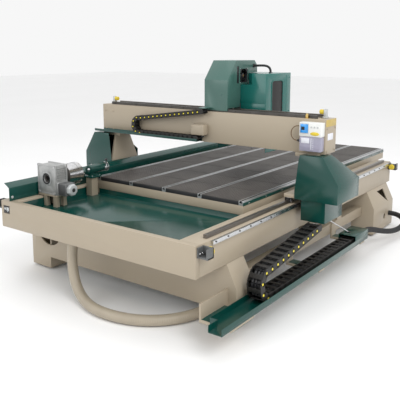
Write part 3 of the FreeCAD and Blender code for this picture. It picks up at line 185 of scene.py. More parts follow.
GRINDING = {"stretch": (60, 1, 60), "patch": 9, "bump": 0.05}
GLOSS = {"mottle": 0.05, "patch": 3, "coat": 0.3, "wear": 0.4}
BEIGE = surface("beige_paint", (0.385, 0.325, 0.243), 0.42, mottle=0.03, patch=2.5, wear=0.4,
                worn=(0.52, 0.45, 0.35))
GREEN = surface("green_paint", (0.002, 0.050, 0.040), 0.22, mottle=0.06, patch=3, coat=0.15, wear=0.4,
                worn=(0.02, 0.15, 0.12))
# The head cover's paint is the teal paint made lighter and greyer: a painted sheen.
SHEEN_TEAL = surface("cover_paint", (0.050, 0.125, 0.105), 0.30, worn=(0.12, 0.24, 0.20), **GLOSS)
TEAL = surface("teal_paint", (0.004, 0.118, 0.100), 0.24, worn=(0.03, 0.2, 0.165), **GLOSS)
# Rail steel darkened to a brownish grey: painted shade for rails that sit in shadow.
SHADED_RAIL_STEEL = surface("rail_steel_painted_shade", (0.20, 0.185, 0.17), 0.30, metal=0.9, mottle=0.15, **GRINDING)
STEEL = surface("ground_steel", (0.62, 0.63, 0.64), 0.26, metal=1.0, mottle=0.12, **GRINDING)
BRIGHT = surface("bright_steel", (0.78, 0.78, 0.79), 0.18, metal=1.0, mottle=0.08, patch=30, bump=0.03)
DARK_STEEL = surface("oiled_steel", (0.085, 0.08, 0.075), 0.42, metal=0.7, mottle=0.2, patch=12, bump=0.1)
CAST = surface("cast_metal", (0.46, 0.465, 0.46), 0.48, metal=0.8, mottle=0.12, patch=20, grain=260,
               bump=0.35)
IRON = surface("cast_iron", (0.16, 0.165, 0.165), 0.5, metal=0.6, mottle=0.12, patch=14, grain=240, bump=0.35)
ALLOY = surface("slot_rail_alloy", (0.52, 0.53, 0.54), 0.30, metal=0.85, stretch=(80, 1, 80), patch=6,
                mottle=0.06, bump=0.04)
PANEL = surface("panel_plastic", (0.086, 0.078, 0.071), 0.55, mottle=0.22, patch=7, grain=420, bump=0.25,
                swing=0.12)
BLACK = surface("black_paint", (0.018, 0.018, 0.02), 0.38, mottle=0.15, patch=20, bump=0.12)
PLASTIC = surface("chain_plastic", (0.012, 0.011, 0.010), 0.55, mottle=0.2, patch=25, grain=500, bump=0.2)
DOT = surface("yellow_dot", (0.80, 0.66, 0.05), 0.45, mottle=0.06, patch=80)
YELLOW = surface("bumper_yellow", (0.66, 0.50, 0.04), 0.6, mottle=0.10, patch=60, grain=300, bump=0.3)
HOSE = surface("hose_plastic", (0.37, 0.32, 0.245), 0.38, mottle=0.05, patch=8, bump=0.08)
CONDUIT = surface("conduit_plastic", (0.012, 0.012, 0.013), 0.50, mottle=0.15, patch=20, bump=0.15)
WHITE = surface("case_plastic", (0.72, 0.73, 0.71), 0.35, mottle=0.03, patch=14, bump=0.1)
SCREEN = surface("screen_glass", (0.02, 0.22, 0.55), 0.12, mottle=0.35, patch=22, bump=0.0, coat=0.6,
                 glow=0.25)
TANK = surface("tank_plastic", (0.50, 0.49, 0.62), 0.12, mottle=0.10, patch=16, bump=0.03, coat=0.4,
               alpha=0.62)
OIL = surface("oil_amber", (0.16, 0.12, 0.20), 0.15, mottle=0.15, patch=18, bump=0.02)
LABEL = surface("blank_label", (0.70, 0.71, 0.76), 0.35, mottle=0.05, patch=40)
BROWN = surface("oil_line_nylon", (0.13, 0.075, 0.03), 0.3, mottle=0.1, patch=60)
BRASS = surface("brass", (0.72, 0.52, 0.20), 0.28, metal=1.0, mottle=0.1, patch=40, bump=0.06)
GOLD = surface("gold_band", (0.56, 0.42, 0.13), 0.35, metal=0.4, mottle=0.08, patch=30)
SMOKE = surface("smoked_acrylic", (0.007, 0.006, 0.006), 0.5, mottle=0.2, patch=12, bump=0.0)
GREY = surface("grey_cap", (0.52, 0.54, 0.54), 0.4, metal=0.3, mottle=0.05, patch=30)


# Mesh building --------

AXES = {
    "+X": Matrix.Rotation(math.pi / 2, 4, "Y"), "-X": Matrix.Rotation(-math.pi / 2, 4, "Y"),
    "+Y": Matrix.Rotation(-math.pi / 2, 4, "X"), "-Y": Matrix.Rotation(math.pi / 2, 4, "X"),
    "+Z": Matrix.Identity(4), "-Z": Matrix.Rotation(math.pi, 4, "X"),
}


def placed(name, data):
    """A new object in the scene."""
    made = bpy.data.objects.new(name, data)
    bpy.context.scene.collection.objects.link(made)
    return made


def make_piece(name, bm, mats, sharp=32, scale=1.0):
    """A piece from its mesh: smooth shading, with crisp edges where faces turn sharply."""
    mesh = bpy.data.meshes.new(name)
    bm.to_mesh(mesh)
    bm.free()
    mesh.transform(Matrix.Scale(scale, 4))
    for mat in mats:
        mesh.materials.append(mat)
    mesh.polygons.foreach_set("use_smooth", [True] * len(mesh.polygons))
    mesh.set_sharp_from_angle(angle=math.radians(sharp))
    return placed(name, mesh)


def around(radius, along, sides, spin=0.0):
    """Points evenly round a circle about Z."""
    turns = [FULL_TURN * i / sides + spin for i in range(sides)]
    return [(radius * math.cos(turn), radius * math.sin(turn), along) for turn in turns]


def bridge(bm, rings):
    """Faces from each ring of points to the next, all the way round."""
    for near, far in zip(rings, rings[1:]):
        for i in range(len(near)):
            j = (i + 1) % len(near)
            bm.faces.new((near[i], near[j], far[j], far[i]))


def cap_ends(bm, rings):
    bm.faces.new(list(reversed(rings[0])))
    bm.faces.new(rings[-1])


def extrude(points, low, high):
    """A closed shape from a flat outline, between two heights."""
    bm = bmesh.new()
    rings = [[bm.verts.new((u, v, w)) for u, v in points] for w in (low, high)]
    bridge(bm, rings)
    cap_ends(bm, rings)
    bmesh.ops.recalc_face_normals(bm, faces=bm.faces)
    return bm


class Kit:
    """Collects shapes, in millimetres, into one piece."""

    def __init__(self):
        self.bm = bmesh.new()
        self.mats = []

    def add(self, bm, mat, matrix=None):
        if mat not in self.mats:
            self.mats.append(mat)
        for face in bm.faces:
            face.material_index = self.mats.index(mat)
        if matrix is not None:
            bm.transform(matrix)
        mesh = bpy.data.meshes.new("part")
        bm.to_mesh(mesh)
        bm.free()
        self.bm.from_mesh(mesh)
        bpy.data.meshes.remove(mesh)

    def box(self, low, high, mat, bevel=1.0, turn=None):
        bm = bmesh.new()
        bmesh.ops.create_cube(bm, size=1)
        size = [h - l for l, h in zip(low, high)]
        middle = Vector([(l + h) / 2 for l, h in zip(low, high)])
        bm.transform(Matrix.Diagonal((*size, 1)))
        if bevel:
            soft = min(bevel, 0.45 * min(size))
            bmesh.ops.bevel(bm, geom=bm.edges[:], offset=soft, segments=2, profile=0.5, affect="EDGES")
        matrix = Matrix.Translation(middle)
        if turn is not None:
            matrix = matrix @ turn
        self.add(bm, mat, matrix)

    def side_box(self, side, xs, ys, zs, mat, bevel=1.0):
        """A box on one side of the machine, with its x places counted outward from the middle."""
        low, high = sorted((side * xs[0], side * xs[1]))
        self.box((low, ys[0], zs[0]), (high, ys[1], zs[1]), mat, bevel)

    def lathe(self, axis, at, profile, mat, sides=32, spin=0.0):
        """A turned shape: (distance along the axis, radius) pairs from one end to the other."""
        bm = bmesh.new()
        rings = [[bm.verts.new(p) for p in around(radius, along, sides, spin)] for along, radius in profile]
        bridge(bm, rings)
        cap_ends(bm, rings)
        turn = AXES[axis] if isinstance(axis, str) else axis
        self.add(bm, mat, Matrix.Translation(at) @ turn)

    def rod(self, axis, at, radius, length, mat, bevel=0.8, sides=32):
        """A round bar with softened ends."""
        soft = min(bevel, radius * 0.4, length * 0.4)
        self.lathe(axis, at, [(0, radius - soft), (soft * 0.3, radius - soft * 0.3), (soft, radius),
                              (length - soft, radius), (length - soft * 0.3, radius - soft * 0.3),
                              (length, radius - soft)], mat, sides)

    def ring(self, axis, at, outer, inner, length, mat, sides=40):
        """A hollow turned ring with softened rims."""
        bm = bmesh.new()
        soft = min(1.0, (outer - inner) * 0.3, length * 0.3)
        profile = [(0, inner + soft), (0, outer - soft), (soft, outer), (length - soft, outer),
                   (length, outer - soft), (length, inner + soft), (length - soft, inner), (soft, inner)]
        rings = [[bm.verts.new(p) for p in around(radius, along, sides)] for along, radius in profile]
        bridge(bm, rings + rings[:1])
        self.add(bm, mat, Matrix.Translation(at) @ AXES[axis])

    def bolt(self, axis, at, radius, mat=None):
        """A socket-head screw: rounded head with a six-sided socket."""
        head = radius * 0.9
        socket = radius * 0.5
        sixth = math.pi / 3
        bm = bmesh.new()
        rings = []
        for along, rad in ((0, radius), (head * 0.85, radius), (head, radius * 0.88)):
            rings.append([bm.verts.new(p) for p in around(rad, along, 24)])
        for along in (head, head * 0.35):
            ring = []
            for x, y, z in around(1, along, 24):
                turn = math.atan2(y, x) % sixth
                reach = socket * math.cos(sixth / 2) / math.cos(turn - sixth / 2)
                ring.append(bm.verts.new((reach * x, reach * y, z)))
            rings.append(ring)
        bridge(bm, rings)
        cap_ends(bm, rings)
        self.add(bm, mat or BRIGHT, Matrix.Translation(at) @ AXES[axis])

    def outline(self, points, low, high, mat, plane="YZ", bevel=0.0):
        """A flat outline drawn in a plane and extruded across it from low to high."""
        bm = bmesh.new()
        order = {"YZ": lambda u, v, w: (w, u, v),
                 "XZ": lambda u, v, w: (u, w, v),
                 "XY": lambda u, v, w: (u, v, w)}
        near = [bm.verts.new(order[plane](u, v, low)) for u, v in points]
        far = [bm.verts.new(order[plane](u, v, high)) for u, v in points]
        count = len(points)
        bm.faces.new(near)
        bm.faces.new(list(reversed(far)))
        for i in range(count):
            j = (i + 1) % count
            bm.faces.new((near[j], near[i], far[i], far[j]))
        bmesh.ops.recalc_face_normals(bm, faces=bm.faces)
        if bevel:
            bmesh.ops.bevel(bm, geom=bm.edges[:], offset=bevel, segments=2, profile=0.5, affect="EDGES",
                            clamp_overlap=True)
        self.add(bm, mat)

    def to_piece(self, name, sharp=32):
        """The collected shapes as one object in the scene, in metres."""
        bmesh.ops.recalc_face_normals(self.bm, faces=self.bm.faces)
        return make_piece(name, self.bm, self.mats, sharp, MM)

    def done(self, name, body, replaces=(), sharp=32):
        piece = self.to_piece(name, sharp)
        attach(piece, body)
        if replaces:
            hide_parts(*replaces)
        return piece


def soften(node, mat, width=1.2, others=(), segments=2):
    """The CAD node's own shape with rounded edges; others are (material, test of a face's middle in mm)."""
    source = frame["nodes"][node]
    bm = bmesh.new()
    bm.from_mesh(source.data)
    bmesh.ops.remove_doubles(bm, verts=bm.verts, dist=2e-5)
    bmesh.ops.dissolve_limit(bm, angle_limit=math.radians(0.6), verts=bm.verts, edges=bm.edges,
                             delimit={"NORMAL"})
    crisp = [e for e in bm.edges if e.is_manifold and e.calc_face_angle(0) > math.radians(35)]
    if crisp and width:
        bmesh.ops.bevel(bm, geom=crisp, offset=width * MM, segments=segments, profile=0.5, affect="EDGES",
                        clamp_overlap=True)
    for face in bm.faces:
        face.material_index = 0
        middle = face.calc_center_median() / MM
        for number, (_, test) in enumerate(others, start=1):
            if test(middle):
                face.material_index = number
    piece = make_piece(node + "_made", bm, [mat] + [other for other, _ in others])
    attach(piece, source["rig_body"])
    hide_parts(node)
    return piece


# Frame and covers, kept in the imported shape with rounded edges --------

T_SLOTS = (-643, -313, 0, 313, 643)


def in_t_slot_shade(p):
    """Inside a T-slot's mouth, but not on the rails' end faces: the faces painted black there are painted
    shade in the slot.
    """
    along = PANEL_LOW.y + 1 < p.y < PANEL_HIGH.y - 1
    return along and p.z < PANEL_HIGH.z - 1 and min(abs(p.x - slot) for slot in T_SLOTS) < 11


# Faces of the side wall's dark patch, coloured smoked black as a painted reflection.
def on_painted_reflection(p):
    return 443 < p.x < 448.2 and -62 < p.y < 120 and 860 < p.z < 1368


soften("side_beams", BEIGE, 3.0)
soften("front_apron", BEIGE, 1.6)
soften("rear_cross_beam", BEIGE, 2.0)
soften("front_leg_frame", BEIGE, 2.0)
soften("rear_leg_frame", BEIGE, 2.0)
soften("tie_rails", BEIGE, 2.5)
soften("table_frame", BEIGE, 1.5)
soften("levelling_feet", STEEL, 1.0, [(BLACK, lambda p: p.z < 12)])
soften("tray_sheet", GREEN, 0.8)
soften("rail_guard", GREEN, 0.8)
soften("rotary_posts", BEIGE, 1.2)
soften("tailstock_body", GREEN, 1.5, [(BEIGE, lambda p: p.z < 640)])
soften("chain_tray", GREEN, 0.8, [(BEIGE, lambda p: p.z < 151.9 or p.x < 919)])
soften("tray_end_box", GREEN, 0.8, [(BLACK, lambda p: p.y > 421)])
# The T-slots' inner faces are painted black: painted shade in the slots.
soften("t_slot_rails", ALLOY, 0.4, [(BLACK, in_t_slot_shade)])
soften("gantry_beam", BEIGE, 3.0)
soften("gantry_feet", BEIGE, 1.5)
soften("foot_covers", GREEN, 0.8)
soften("y_motors", BLACK, 1.5)
soften("head_chain_tray", GREEN, 0.6)
soften("x_saddle", IRON, 1.5)
# The head cover takes the lighter teal, a painted sheen.
soften("head_cover", SHEEN_TEAL, 0.9)
# The dark patch on the spindle cover's side wall is a painted reflection, in the smoked material.
soften("spindle_cover", TEAL, 0.9, [(SMOKE, on_painted_reflection)])
soften("head_motors", BLACK, 1.5)
soften("fan_frame", BLACK, 0.8)
soften("z_plate", IRON, 1.2)
soften("spindle_body", ALLOY, 1.2)
soften("tool_holder", BRIGHT, 0.6)
soften("rotary_chuck", DARK_STEEL, 1.0, [(BRIGHT, lambda p: p.y > -1128)])
for number in (1, 2, 3):
    soften("jaw_%d" % number, BRIGHT, 0.8)
soften("tailstock_quill", BRIGHT, 0.6)
soften("tailstock_lever", BRIGHT, 0.8, [(BLACK, lambda p: p.z > 750)])


# Linear guides, racks and gears --------

RAIL = [(-11.5, 0), (-11.5, 7), (-9.3, 9.5), (-9.3, 13.5), (-11.5, 16), (-11.5, 21), (-10.6, 22), (10.6, 22),
        (11.5, 21), (11.5, 16), (9.3, 13.5), (9.3, 9.5), (11.5, 7), (11.5, 0)]
RAIL_HALF = 11.5
RAIL_X = RAIL_HIGH.x - RAIL_HALF
UPPER_RAIL_Y = X_RAIL_LOW.y + RAIL_HALF
LOWER_RAIL_Z = X_RAIL_LOW.z + RAIL_HALF
PLUG_SINK = 0.6


def rail_plug(kit, axis, at):
    """The cap in a rail's screw hole."""
    kit.rod(axis, at, 5.0, 0.65, DARK_STEEL, bevel=0.2, sides=16)


# The table's rails take the darkened rail steel, a painted shade.
kit = Kit()
for side in SIDES:
    kit.outline([(side * RAIL_X + u, RAIL_LOW.z + v) for u, v in RAIL], RAIL_LOW.y, RAIL_HIGH.y, SHADED_RAIL_STEEL,
                plane="XZ")
    for i in range(46):
        rail_plug(kit, "+Z", (side * RAIL_X, RAIL_LOW.y + 30 + 60 * i, RAIL_HIGH.z - PLUG_SINK))
kit.done("y_rails_made", "frame", ["y_rails"])

kit = Kit()
# The upper rail takes the darkened rail steel, a painted shade; the lower rail is plain steel.
kit.outline([(UPPER_RAIL_Y + u, BEAM_HIGH.z + v) for u, v in RAIL], X_RAIL_LOW.x, X_RAIL_HIGH.x, SHADED_RAIL_STEEL)
kit.outline([(BEAM_HIGH.y + v, LOWER_RAIL_Z + u) for u, v in RAIL], X_RAIL_LOW.x, X_RAIL_HIGH.x, STEEL)
for i in range(31):
    x = X_RAIL_LOW.x + 25 + 61 * i
    rail_plug(kit, "+Z", (x, UPPER_RAIL_Y, X_RAIL_HIGH.z - PLUG_SINK))
    rail_plug(kit, "+Y", (x, X_RAIL_HIGH.y - PLUG_SINK, LOWER_RAIL_Z))
kit.done("x_rails_made", "gantry", ["x_rails"])


TOOTH_DEEP = 4.3
RACK_THICK = 18
TOOTH = ((0.0, False), (0.16, False), (0.38, True), (0.62, True), (0.84, False))


def tooth_line(start, end, tip, root, pitch=6.283):
    """A rack's toothed edge from start to end, as (along, height) points."""
    points = []
    for i in range(int((end - start) / pitch)):
        points += [(start + (i + share) * pitch, tip if high else root) for share, high in TOOTH]
    return points + [(end, root)]


kit = Kit()
for side in SIDES:
    low, high = sorted((side * BEAM_SIDE, side * (BEAM_SIDE + RACK_THICK)))
    teeth = tooth_line(RACK_LOW.y, RACK_HIGH.y, RACK_LOW.z, RACK_LOW.z + TOOTH_DEEP)
    kit.outline(teeth + [(RACK_HIGH.y, RACK_HIGH.z), (RACK_LOW.y, RACK_HIGH.z)], low, high, STEEL)
    for i in range(24):
        place = (side * (BEAM_SIDE + RACK_THICK), RACK_LOW.y + 26 + 120 * i, RACK_HIGH.z - 9)
        kit.bolt(OUTWARD[side], place, 4.6, DARK_STEEL)
kit.done("y_racks_made", "frame", ["y_racks"])

kit = Kit()
teeth = tooth_line(X_RACK_LOW.x, X_RACK_HIGH.x, X_RACK_HIGH.y, X_RACK_HIGH.y - TOOTH_DEEP)
kit.outline(teeth + [(X_RACK_HIGH.x, X_RACK_LOW.y), (X_RACK_LOW.x, X_RACK_LOW.y)],
            X_RACK_LOW.z, X_RACK_HIGH.z, DARK_STEEL, plane="XY")
for i in range(16):
    kit.bolt("-Y", (X_RACK_LOW.x + 40 + 120 * i, X_RACK_LOW.y, X_RACK_LOW.z + 11), 4.2, DARK_STEEL)
kit.done("x_rack_made", "gantry", ["x_rack"])


def gear(kit, axis, at, tip, root, teeth, length, mat):
    """A spur gear with straight-sided teeth."""
    points = []
    for i in range(teeth):
        for share, high in TOOTH:
            turn = FULL_TURN * (i + share) / teeth
            radius = tip if high else root
            points.append((radius * math.cos(turn), radius * math.sin(turn)))
    kit.add(extrude(points, 0, length), mat, Matrix.Translation(at) @ AXES[axis])


DRIVE_Y, PINION_Z = -228, 513.6
for word, side in (("left", -1), ("right", 1)):
    axis = OUTWARD[side]
    kit = Kit()
    gear(kit, axis, (side * 837.5, DRIVE_Y, PINION_Z), 27, 22.8, 27, 16.5, STEEL)
    kit.rod(axis, (side * 854, DRIVE_Y, PINION_Z), 10, 33.7, BRIGHT)
    kit.rod(axis, (side * 836.8, DRIVE_Y, PINION_Z), 6, 2.5, BRIGHT, sides=6)
    kit.done("y_pinion_%s_made" % word, "pinion_" + word, ["y_pinion_" + word])

kit = Kit()
gear(kit, "+Z", (132, -265.6, 1140), 25, 21, 25, 20, STEEL)
kit.rod("+Z", (132, -265.6, 1160), 10, 32.7, BRIGHT)
kit.done("x_pinion_made", "carriage_pinion", ["x_pinion"])


def ball_screw(kit, x, y, low, high, radius=10, lead=10, groove=1.3, sides=24, step=1.25):
    """A screw with one round-bottomed groove over part of each turn."""
    grooved = 0.6
    bm = bmesh.new()
    rings = []
    for j in range(int((high - low) / step) + 1):
        z = low + j * step
        ring = []
        for i in range(sides):
            phase = (i / sides - (z - low) / lead) % 1.0
            depth = groove * math.sin(math.pi * phase / grooved) if phase < grooved else 0.0
            turn = FULL_TURN * i / sides
            reach = radius - depth
            ring.append(bm.verts.new((x + reach * math.cos(turn), y + reach * math.sin(turn), z)))
        rings.append(ring)
    bridge(bm, rings)
    cap_ends(bm, rings)
    kit.add(bm, BRIGHT)


kit = Kit()
SCREW_X, SCREW_Y, THREAD_HIGH = 240, -102.5, 1255
ball_screw(kit, SCREW_X, SCREW_Y, SCREW_LOW.z, THREAD_HIGH)
kit.rod("+Z", (SCREW_X, SCREW_Y, THREAD_HIGH), 8, SCREW_HIGH.z - THREAD_HIGH, BRIGHT)
kit.done("ball_screw_made", "lead_screw", ["ball_screw"], sharp=60)

# Guide blocks keep their packed channels; the gantry's blocks on the table rails also get end seals.
soften("y_blocks", STEEL, 1.0)
soften("head_blocks", STEEL, 1.0)
BLOCK_HALF, SEAL_THICK, SEAL_TOP = 42.2, 2.5, 606.5
kit = Kit()
for side in SIDES:
    for y in (-376, -124):
        for sign in (-1, 1):
            at = y + sign * BLOCK_HALF
            low, high = sorted((at, at + sign * SEAL_THICK))
            for left, right, base in ((-22, -12, 573), (12, 22, 573), (-22, 22, 591)):
                kit.box((side * RAIL_X + left, low, base), (side * RAIL_X + right, high, SEAL_TOP), BLACK,
                        bevel=0.6)
kit.done("y_block_seals", "gantry")


# Vacuum table --------

def pad(bm, low, high, top, slope=0.7, deep=3):
    """One raised pad with sloping sides."""
    base = [bm.verts.new((x, y, top - deep)) for x, y in
            ((low[0], low[1]), (high[0], low[1]), (high[0], high[1]), (low[0], high[1]))]
    face = [bm.verts.new((x, y, top)) for x, y in
            ((low[0] + slope, low[1] + slope), (high[0] - slope, low[1] + slope),
             (high[0] - slope, high[1] - slope), (low[0] + slope, high[1] - slope))]
    bm.faces.new(face)
    for a in range(4):
        b = (a + 1) % 4
        bm.faces.new((base[a], base[b], face[b], face[a]))


def pad_field(kit, x_low, x_high, y_low, y_high, top, pitch, groove, rim, channel):
    """A panel's face: pads with grooves between them, and a wider channel at every twelfth row."""
    bm = bmesh.new()
    columns = max(1, round((x_high - x_low - 2 * rim) / pitch))
    rows = round((y_high - y_low - 2 * rim) / pitch)
    wide = (x_high - x_low - 2 * rim) / columns
    deep = (y_high - y_low - 2 * rim) / rows
    for i in range(columns):
        for j in range(rows):
            low = (x_low + rim + i * wide + groove / 2,
                   y_low + rim + j * deep + groove / 2 + (channel if j % 12 == 0 else 0))
            high = (x_low + rim + (i + 1) * wide - groove / 2,
                    y_low + rim + (j + 1) * deep - groove / 2 - (channel if j % 12 == 11 else 0))
            pad(bm, low, high, top)
    kit.add(bm, PANEL)


PANEL_RIM, PAD_PITCH, PAD_GROOVE, WIDE_CHANNEL = 4, 24, 5, 5
PANEL_EDGES = (PANEL_LOW.x, -330, -296, -17, 17, 296, 330, PANEL_HIGH.x)
kit = Kit()
for low, high in zip(PANEL_EDGES[::2], PANEL_EDGES[1::2]):
    front, back, top = PANEL_LOW.y, PANEL_HIGH.y, PANEL_HIGH.z
    kit.box((low, front, PANEL_LOW.z), (high, back, top - 2.8), BLACK, bevel=1.0)
    for x_low, x_high in ((low, low + PANEL_RIM), (high - PANEL_RIM, high)):
        kit.box((x_low, front, top - 4), (x_high, back, top), PANEL, bevel=0.6)
    for y_low, y_high in ((front, front + PANEL_RIM), (back - PANEL_RIM, back)):
        kit.box((low, y_low, top - 4), (high, y_high, top), PANEL, bevel=0.6)
    pad_field(kit, low, high, front, back, top, PAD_PITCH, PAD_GROOVE, PANEL_RIM, WIDE_CHANNEL)
    for row in range(5):
        kit.ring("+Z", ((low + high) / 2, -510 + row * 516, top - 2), 11, 6, 2.4, DARK_STEEL)
kit.done("vacuum_panels_made", "frame", ["vacuum_panels"])

kit = Kit()
STRIP_FACE = T_RAIL_SIDE + 2.5
for side in SIDES:
    kit.side_box(side, (T_RAIL_SIDE, STRIP_FACE), (PANEL_LOW.y, PANEL_HIGH.y), (597, 619), GREEN, bevel=0.6)
    for i in range(12):
        kit.bolt(OUTWARD[side], (side * STRIP_FACE, -700 + 220 * i, 608), 4.0)
kit.done("table_edge_strips", "frame")


# Frame trim: stops, apron socket, stay rod --------

BUMPER_X, BUMPER_Z = 873, 529
BUMPER = [(0, 19), (3, 24), (19, 24), (23, 21), (24, 15)]
kit = Kit()
for side in SIDES:
    inner, outer = BEAM_SIDE, STOP_HIGH.x
    base, top = STOP_LOW.z, STOP_HIGH.z
    for face, y, wall, at, tip in (("+Y", -1500, -1448, -1440, 21.6), ("-Y", 1452, 1452, 1452, -21.6)):
        kit.side_box(side, (inner, inner + 9), (y, y + 60), (base, top), IRON, bevel=1.5)
        kit.side_box(side, (outer - 9, outer), (y, y + 60), (base, top), IRON, bevel=1.5)
        kit.side_box(side, (inner, outer), (y + 4, y + 56), (base, base + 9), IRON, bevel=1.5)
        kit.side_box(side, (inner, outer), (wall, wall + 8), (base, top), IRON, bevel=1.5)
        kit.lathe(face, (side * BUMPER_X, at, BUMPER_Z), BUMPER, YELLOW)
        kit.ring(face, (side * BUMPER_X, at + tip, BUMPER_Z), 13, 7, 2.3, DARK_STEEL)
        for along in (16, 38):
            kit.bolt(OUTWARD[side], (side * (inner + 9), y + along, 522), 4.5)
kit.done("y_stops_made", "frame", ["y_stops"])

kit = Kit()
kit.box((-813, -1510.5, 485), (-749, -1505, 531), BLACK, bevel=1.0)
kit.box((-818, -1512, 480), (-744, -1510.6, 484), BLACK, bevel=0.5)
kit.box((-818, -1512, 532), (-744, -1510.6, 536), BLACK, bevel=0.5)
kit.rod("-Y", (-798, -1508, 512), 9, 3.9, GREY)
kit.box((-783, -1511.5, 500), (-757, -1507, 524), GREY, bevel=1.5)
kit.rod("-Y", (-770, -1508, 494), 3.5, 3.8, BRIGHT)
kit.done("apron_socket", "frame")

kit = Kit()
start, end = Vector((966, 250, 228)), Vector((800, 66, 384))
span = end - start
bm = bmesh.new()
bmesh.ops.create_cone(bm, cap_ends=True, segments=16, radius1=4.5, radius2=4.5, depth=span.length)
kit.add(bm, BRIGHT, Matrix.Translation((start + end) / 2) @ span.to_track_quat("Z", "Y").to_matrix().to_4x4())
kit.box((952, 236, 226), (980, 264, 234), BLACK, bevel=1.5)
kit.box((786, 52, 374), (814, 80, 384), BLACK, bevel=1.5)
kit.done("stay_rod", "frame")

kit = Kit()
for side in SIDES:
    kit.side_box(side, (830, 835.6), (-1510, -1470), (384, 566), BEIGE, bevel=1.0)
kit.done("apron_ends", "frame")

kit = Kit()
for y in range(-1400, 1400, 280):
    kit.bolt("+X", (GUARD_SIDE, y, 590), 5, GREEN)
kit.rod("+X", (GUARD_SIDE, -1482, 594), 9, 2.5, GREY)
kit.done("guard_screws", "frame")


# Rotary axis --------

AXIS_X, AXIS_Z = -640, 700


def on_circle(radius, i, count, spin=0.0):
    """The X and Z of one of count places round the rotary axis."""
    turn = FULL_TURN * i / count + spin
    return AXIS_X + radius * math.cos(turn), AXIS_Z + radius * math.sin(turn)


soften("rotary_gearbox", CAST, 2.5)
near, far = GEARBOX_LOW.y, GEARBOX_HIGH.y
kit = Kit()
for dx in (-82, 82):
    for z in (602, 788):
        kit.bolt("-Y", (AXIS_X + dx, near, z), 5.5)
        kit.bolt("+Y", (AXIS_X + dx, far, z), 5.5)
kit.ring("-Y", (AXIS_X, near + 0.1, AXIS_Z), 52, 31, 3.5, CAST)
kit.ring("-Y", (AXIS_X, near - 0.3, AXIS_Z), 40, 30.6, 4.2, BLACK)
for i in range(6):
    x, z = on_circle(46, i, 6)
    kit.bolt("-Y", (x, near - 3.2, z), 2.6)
for low, high in (((-733, 592), (-547, 600)), ((-733, 788), (-547, 798)), ((-733, 592), (-724, 798)),
                  ((-556, 592), (-547, 798))):
    kit.box((low[0], near - 3.5, low[1]), (high[0], near + 1, high[1]), CAST, bevel=1.5)
for i in range(6):
    kit.box((-546, -1260, AXIS_Z + 15 * i), (-540.5, -1178, AXIS_Z + 6 + 15 * i), CAST, bevel=1.5)
kit.box((-716, -1258, 789), (-564, -1179, 795), CAST, bevel=2)
kit.done("gearbox_trim", "frame")

FLANGE = STEPPER_LOW.x + 10
MOTOR_Y = (STEPPER_LOW.y + STEPPER_HIGH.y) / 2
MOTOR_Z = (STEPPER_LOW.z + STEPPER_HIGH.z) / 2
kit = Kit()
kit.box(STEPPER_LOW, (FLANGE, STEPPER_HIGH.y, STEPPER_HIGH.z), CAST, bevel=2)
kit.box((FLANGE, MOTOR_Y - 43, MOTOR_Z - 43), (FLANGE + 80, MOTOR_Y + 43, MOTOR_Z + 43), IRON, bevel=7)
for i in range(9):
    x = FLANGE + 5 + 8 * i
    kit.box((x, MOTOR_Y - 44.1, MOTOR_Z - 37), (x + 3, MOTOR_Y + 44.1, MOTOR_Z + 37), BLACK, bevel=0.8)
kit.lathe("+X", (FLANGE + 80, MOTOR_Y, MOTOR_Z), [(0, 40), (3, 41.5), (22, 41.5), (28, 36), (30, 28)], GREY,
          sides=8, spin=math.pi / 8)
kit.rod("+X", (FLANGE + 109.5, MOTOR_Y, MOTOR_Z), 14, 1.4, DARK_STEEL)
for dy in (-38, 38):
    for dz in (-38, 38):
        kit.bolt("+X", (FLANGE, MOTOR_Y + dy, MOTOR_Z + dz), 3.4)
kit.done("rotary_motor_made", "frame", ["rotary_motor"])

face = CHUCK_FACE - 0.2
kit = Kit()
for i in range(10):
    x, z = on_circle(68, i, 10)
    kit.rod("+Y", (x, face, z), 2.4, 0.4, DARK_STEEL, bevel=0.1)
kit.ring("+Y", (AXIS_X, -1128, AXIS_Z), 80.2, 78.6, 2.5, DARK_STEEL)
kit.ring("+Y", (AXIS_X, -1040, AXIS_Z), 79.4, 78.6, 2.0, DARK_STEEL)
for i in range(3):
    x, z = on_circle(45, i, 3, math.pi / 6)
    kit.rod("+Y", (x, face, z), 5.5, 0.4, DARK_STEEL, bevel=0.1)
kit.done("chuck_marks", "chuck")

kit = Kit()
kit.ring("+Y", (AXIS_X, -705, AXIS_Z), 36.5, 17, 9, BRIGHT)
kit.bolt("+Z", (AXIS_X, -850, 733.5), 5)
for dx in (-36, 36):
    for y in (-876, -802):
        kit.bolt("+Z", (AXIS_X + dx, y, 652), 5)
kit.done("tailstock_trim", "frame")


# Gantry trim --------

kit = Kit()
for side, top in ((-1, 1120), (1, 1078)):
    for y in (-322, -198):
        for z in (927, top):
            kit.bolt(OUTWARD[side], (side * BEAM_HIGH.x, y, z), 6, BEIGE)
kit.box((BEAM_HIGH.x - 0.4, -338, 1090), (BEAM_HIGH.x + 0.9, -182, 1137), GOLD, bevel=0.4)
kit.box((BEAM_HIGH.x - 0.4, -310, 1000), (BEAM_HIGH.x + 1.0, -226, 1044), LABEL, bevel=0.5)
for x in (-985, -899):
    for z in (935, 1085):
        kit.bolt("-Y", (x, BEAM_LOW.y, z), 5, BEIGE)
kit.rod("+Z", (872, -322, BEAM_HIGH.z), 13, 3, BRASS)
kit.lathe("+Z", (872, -322, BEAM_HIGH.z + 3), [(0, 10), (2, 11), (20, 11), (23, 8), (27, 8), (29, 6)], BRASS)
kit.box((760, -300, BEAM_HIGH.z), (800, -270, BEAM_HIGH.z + 12), DARK_STEEL, bevel=2)
kit.done("gantry_trim", "gantry")

